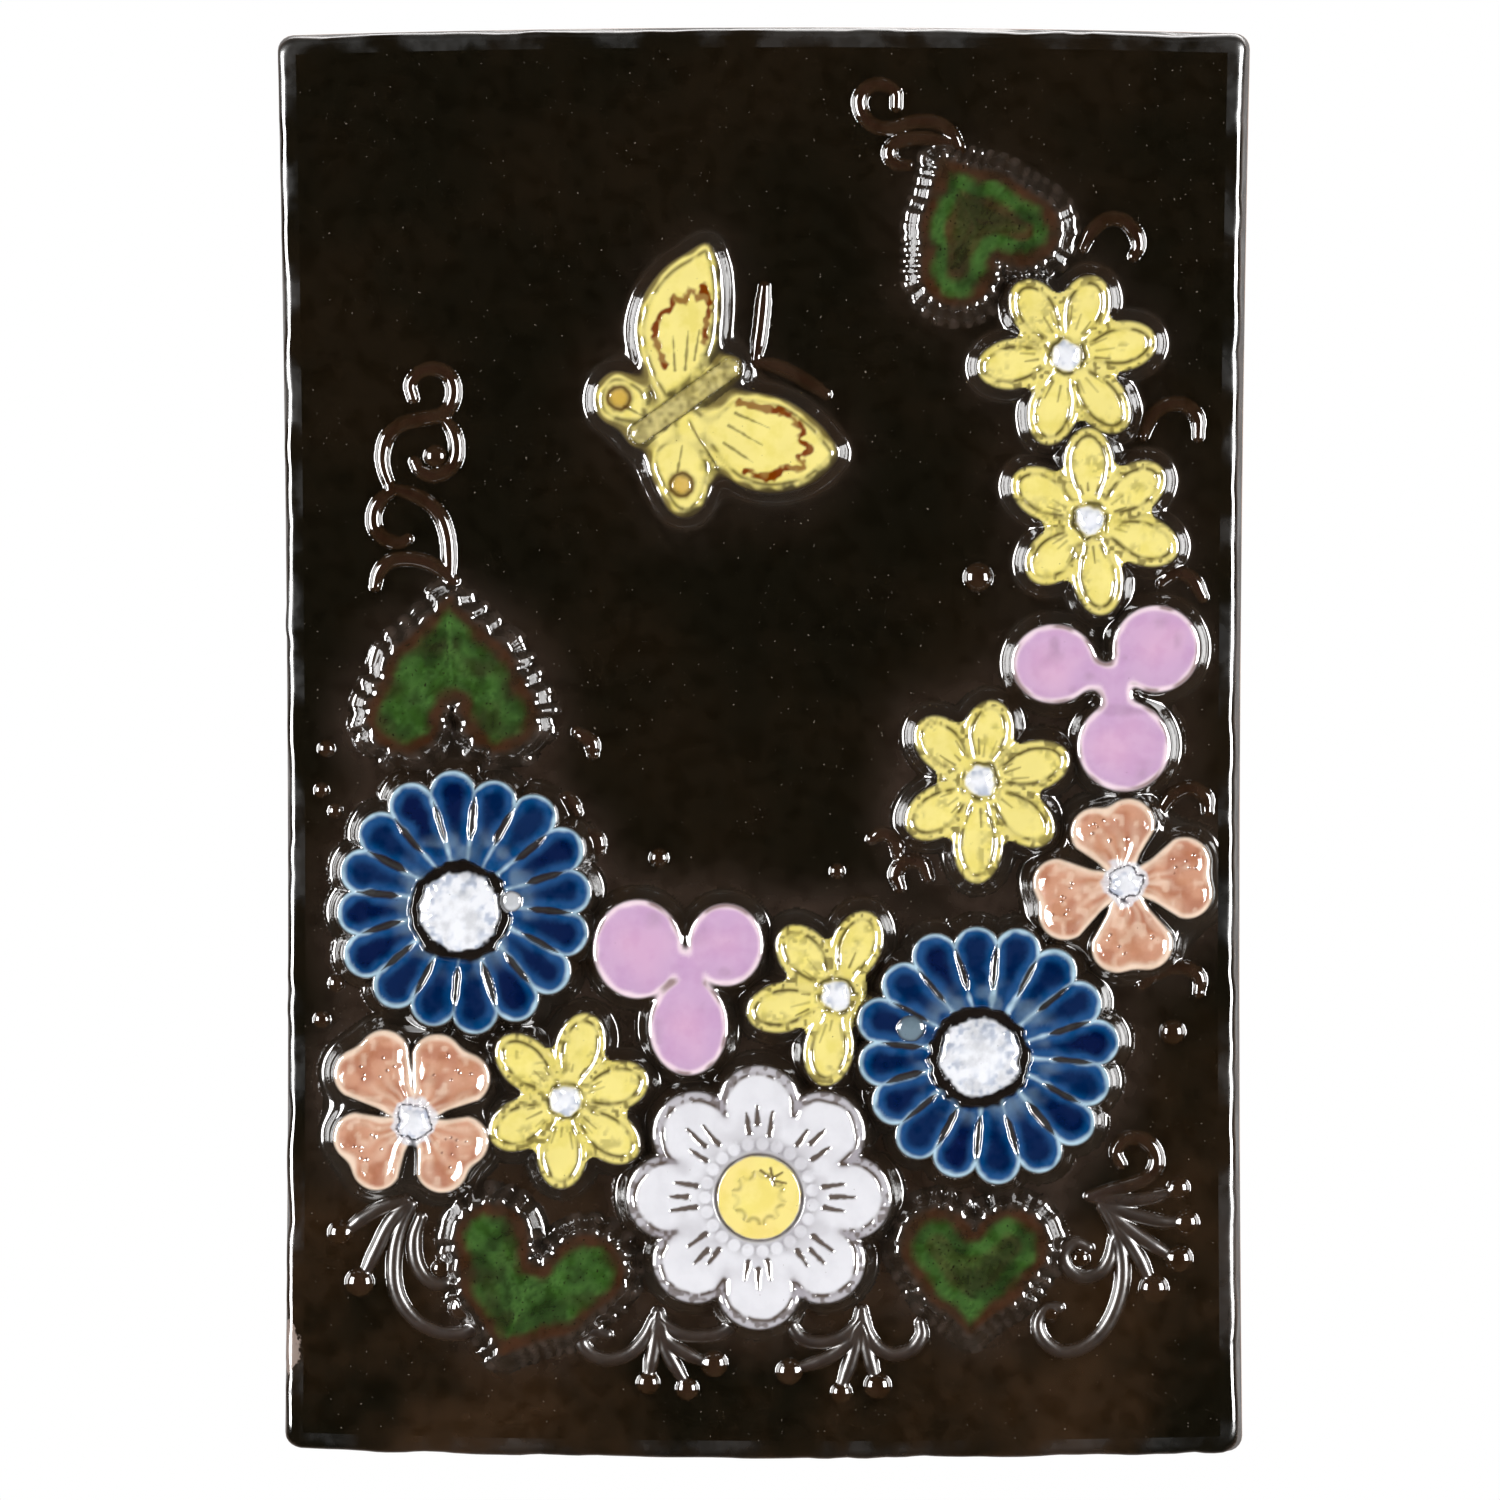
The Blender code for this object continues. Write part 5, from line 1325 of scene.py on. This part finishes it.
def slab_material():
    """Dark glaze on the face and edge, stopping unevenly short of the bare clay back."""
    material, tree, shader = new_material("slab_glaze_and_clay")
    vector, axes = coordinates(tree)
    ragged = arithmetic(tree, "MULTIPLY", noise(tree, 60, 4), 0.004)
    line = BACK_Y * MM
    clay_share = remap(tree, arithmetic(tree, "ADD", axes["Y"], ragged), line - 0.0008, line + 0.0002)
    front = (BACK_Y - THICKNESS) * MM
    side_share = remap(tree, axes["Y"], front + 0.0003, front + 0.0018, 0, 0.9)
    thin = remap(tree, noise(tree, 120, 4), 0.4, 0.7)
    side = mix_colour(tree, thin, rgb(96, 80, 70), rgb(66, 52, 43))
    glaze = mix_colour(tree, side_share, brown_clouds(tree, GROUND), side)
    glaze = worn_glaze(tree, vector, glaze)
    clay_patch = remap(tree, noise(tree, 45, 6, 0.6), 0.35, 0.7)
    clay = mix_colour(tree, clay_patch, rgb(166, 128, 100), rgb(142, 104, 80))
    grit = remap(tree, noise(tree, 1300, 2), 0.68, 0.74, 0, 0.6)
    clay = mix_colour(tree, grit, clay, rgb(92, 66, 52))
    feed(tree, shader.inputs["Base Color"], mix_colour(tree, clay_share, glaze, clay))
    patchy = remap(tree, noise(tree, 70, 3), 0.4, 0.62, 0.06, 0.3)
    gloss = arithmetic(tree, "MAXIMUM", patchy, remap(tree, clay_share, 0, 1, 0.06, 0.85))
    clay_grain = arithmetic(tree, "MULTIPLY", clay_share, 0.4)
    rough_clay = arithmetic(tree, "MULTIPLY", noise(tree, 800, 5, 0.6), clay_grain)
    glaze_surface(tree, shader, gloss, 0.5, rough_clay)
    return material


# Glazes by piece: name, mottling, the specks' colour and share, and how uneven the surface is
DARK_SPECK = rgb(140, 130, 118)
OLIVE_SPECK = rgb(110, 96, 52)
GLAZES = {
    "ground": ("dark_glaze", 0.3, DARK_SPECK, 0.265, 0.05),
    "scrollwork": ("dark_glaze_on_scrolls", 0.3, DARK_SPECK, 0.22, 0.05),
    "leaf": ("green_glaze", 0.3, rgb(34, 30, 16), 0.34, 0.12),
    "lilac_flower": ("lilac_glaze", 0.05, rgb(130, 100, 120), 0.23, 0.08),
    "salmon_flower": ("salmon_glaze", 0.12, rgb(120, 70, 50), 0.25, 0.2),
    "yellow_flower": ("yellow_glaze", 0.06, OLIVE_SPECK, 0.26, 0.12),
    "blue_flower": ("blue_glaze", 0.25, rgb(8, 10, 30), 0.25, 0.12),
    "daisy": ("white_glaze", 0.05, rgb(120, 110, 105), 0.25, 0.15),
    "butterfly": ("butterfly_glaze", 0.06, OLIVE_SPECK, 0.26, 0.15),
}


# The scene round the plaque
FACE_CENTRE_Z = -SEAT_UP * MM
FACE_Y = (BACK_Y - THICKNESS) * MM
VIEW_DISTANCE = 1.5
VIEW_RIGHT = math.radians(1.8)
VIEW_UP = math.radians(1.8)
FRAME_HEIGHT = 0.3095
AIM = (-0.0022, -0.0008)  # where the middle of the picture falls on the face, from its centre
SENSOR_WIDTH = 36
FLOOR_SIZE = 2.2
FLOOR_Z = FACE_CENTRE_Z - 0.33

# Lamps: name, place, the y that they face at the plaque's middle, width and height, radiance, and
# whether surfaces are lit by them and mirror them. The places' heights count from the face's middle.
LAMPS = [
    ("left_soft", (-0.95, -0.8, 0.1), FACE_Y, (0.6, 0.9), 3.0, True, False),
    ("left_mirrored", (-0.98, -0.55, 0.1), FACE_Y, (0.62, 0.8), 42, False, True),
    ("right_soft", (0.95, -0.8, 0.1), FACE_Y, (0.6, 0.9), 3.0, True, False),
    ("right_mirrored", (0.98, -0.55, 0.1), FACE_Y, (0.62, 0.8), 42, False, True),
    ("top_soft", (0, -0.7, 1.1), FACE_Y, (1.2, 0.5), 3.0, True, False),
    ("top_mirrored", (0, -0.7, 1.1), FACE_Y, (1.2, 0.5), 4.5, False, True),
    ("back_fill", (0.4, 1.5, 1.2), 1.2, (2.4, 2.0), 4.0, True, True),
]


def make_camera():
    data = bpy.data.cameras.new("camera")
    camera = bpy.data.objects.new("camera", data)
    bpy.context.scene.collection.objects.link(camera)
    data.sensor_width = SENSOR_WIDTH
    data.lens = SENSOR_WIDTH * VIEW_DISTANCE / FRAME_HEIGHT
    target = np.array([AIM[0], FACE_Y, FACE_CENTRE_Z + AIM[1]])
    away = np.array([math.sin(VIEW_RIGHT) * math.cos(VIEW_UP),
                     -math.cos(VIEW_RIGHT) * math.cos(VIEW_UP), math.sin(VIEW_UP)])
    camera.location = target + away * VIEW_DISTANCE
    camera.rotation_euler = (math.pi / 2 - VIEW_UP, 0, VIEW_RIGHT)
    bpy.context.scene.camera = camera


def softbox(name, place, aim_y, size, radiance, diffuse, glossy):
    """A rectangular lamp that lights surfaces, or is mirrored in glazes, or both."""
    data = bpy.data.lights.new(name, "AREA")
    data.shape = "RECTANGLE"
    data.size, data.size_y = size
    data.energy = radiance * math.pi * size[0] * size[1]
    lamp = bpy.data.objects.new(name, data)
    bpy.context.scene.collection.objects.link(lamp)
    location = np.array([place[0], place[1], FACE_CENTRE_Z + place[2]])
    lamp.location = location
    lamp.visible_diffuse = diffuse
    lamp.visible_glossy = glossy
    run = np.array([0, aim_y, FACE_CENTRE_Z]) - location
    tilt = math.acos(-run[2] / np.linalg.norm(run))
    lamp.rotation_euler = (tilt, 0, math.atan2(run[1], run[0]) - math.pi / 2)


def make_world():
    """White behind the plaque and a little light from all round, with nothing bright to mirror."""
    world = bpy.data.worlds.new("studio")
    world.use_nodes = True
    bpy.context.scene.world = world
    tree = world.node_tree
    path = node(tree, "LightPath", {})
    soft = arithmetic(tree, "MULTIPLY", path["Is Diffuse Ray"], 0.3)
    vector = node(tree, "TexCoord", {})["Generated"]
    behind = remap(tree, node(tree, "SeparateXYZ", {"Vector": vector})["Y"], 0.2, 0.7, 0, 0.28)
    mirrored = arithmetic(tree, "MULTIPLY", path["Is Glossy Ray"], behind)
    rest = arithmetic(tree, "ADD", soft, mirrored)
    back = tree.nodes["Background"].inputs
    back["Color"].default_value = (1, 1, 1, 1)
    feed(tree, back["Strength"], arithmetic(tree, "ADD", path["Is Camera Ray"], rest))


def make_studio():
    make_world()
    for lamp in LAMPS:
        softbox(*lamp)
    bpy.ops.mesh.primitive_plane_add(size=FLOOR_SIZE, location=(0, 0, FLOOR_Z))
    floor = bpy.context.object
    floor.name = "floor"
    floor.visible_glossy = False
    material, _, shader = new_material("floor_paint")
    shader.inputs["Base Color"].default_value = (0.9, 0.9, 0.9, 1)
    shader.inputs["Roughness"].default_value = 0.8
    floor.data.materials.append(material)
    bpy.context.scene.view_settings.view_transform = "Standard"


def main():
    make_camera()
    make_relief()
    split, slope_u, slope_v = choose_cells()
    quads, triangles = cell_faces(split)
    glazes = {piece: painted_glaze(*values) for piece, values in GLAZES.items()}
    relief_pieces(quads, triangles, slope_u, slope_v, glazes)
    used = np.unique(np.concatenate([quads[:, 1:].ravel(), triangles[:, 1:].ravel()]))
    slab_body(used, slab_material())
    make_studio()


main()
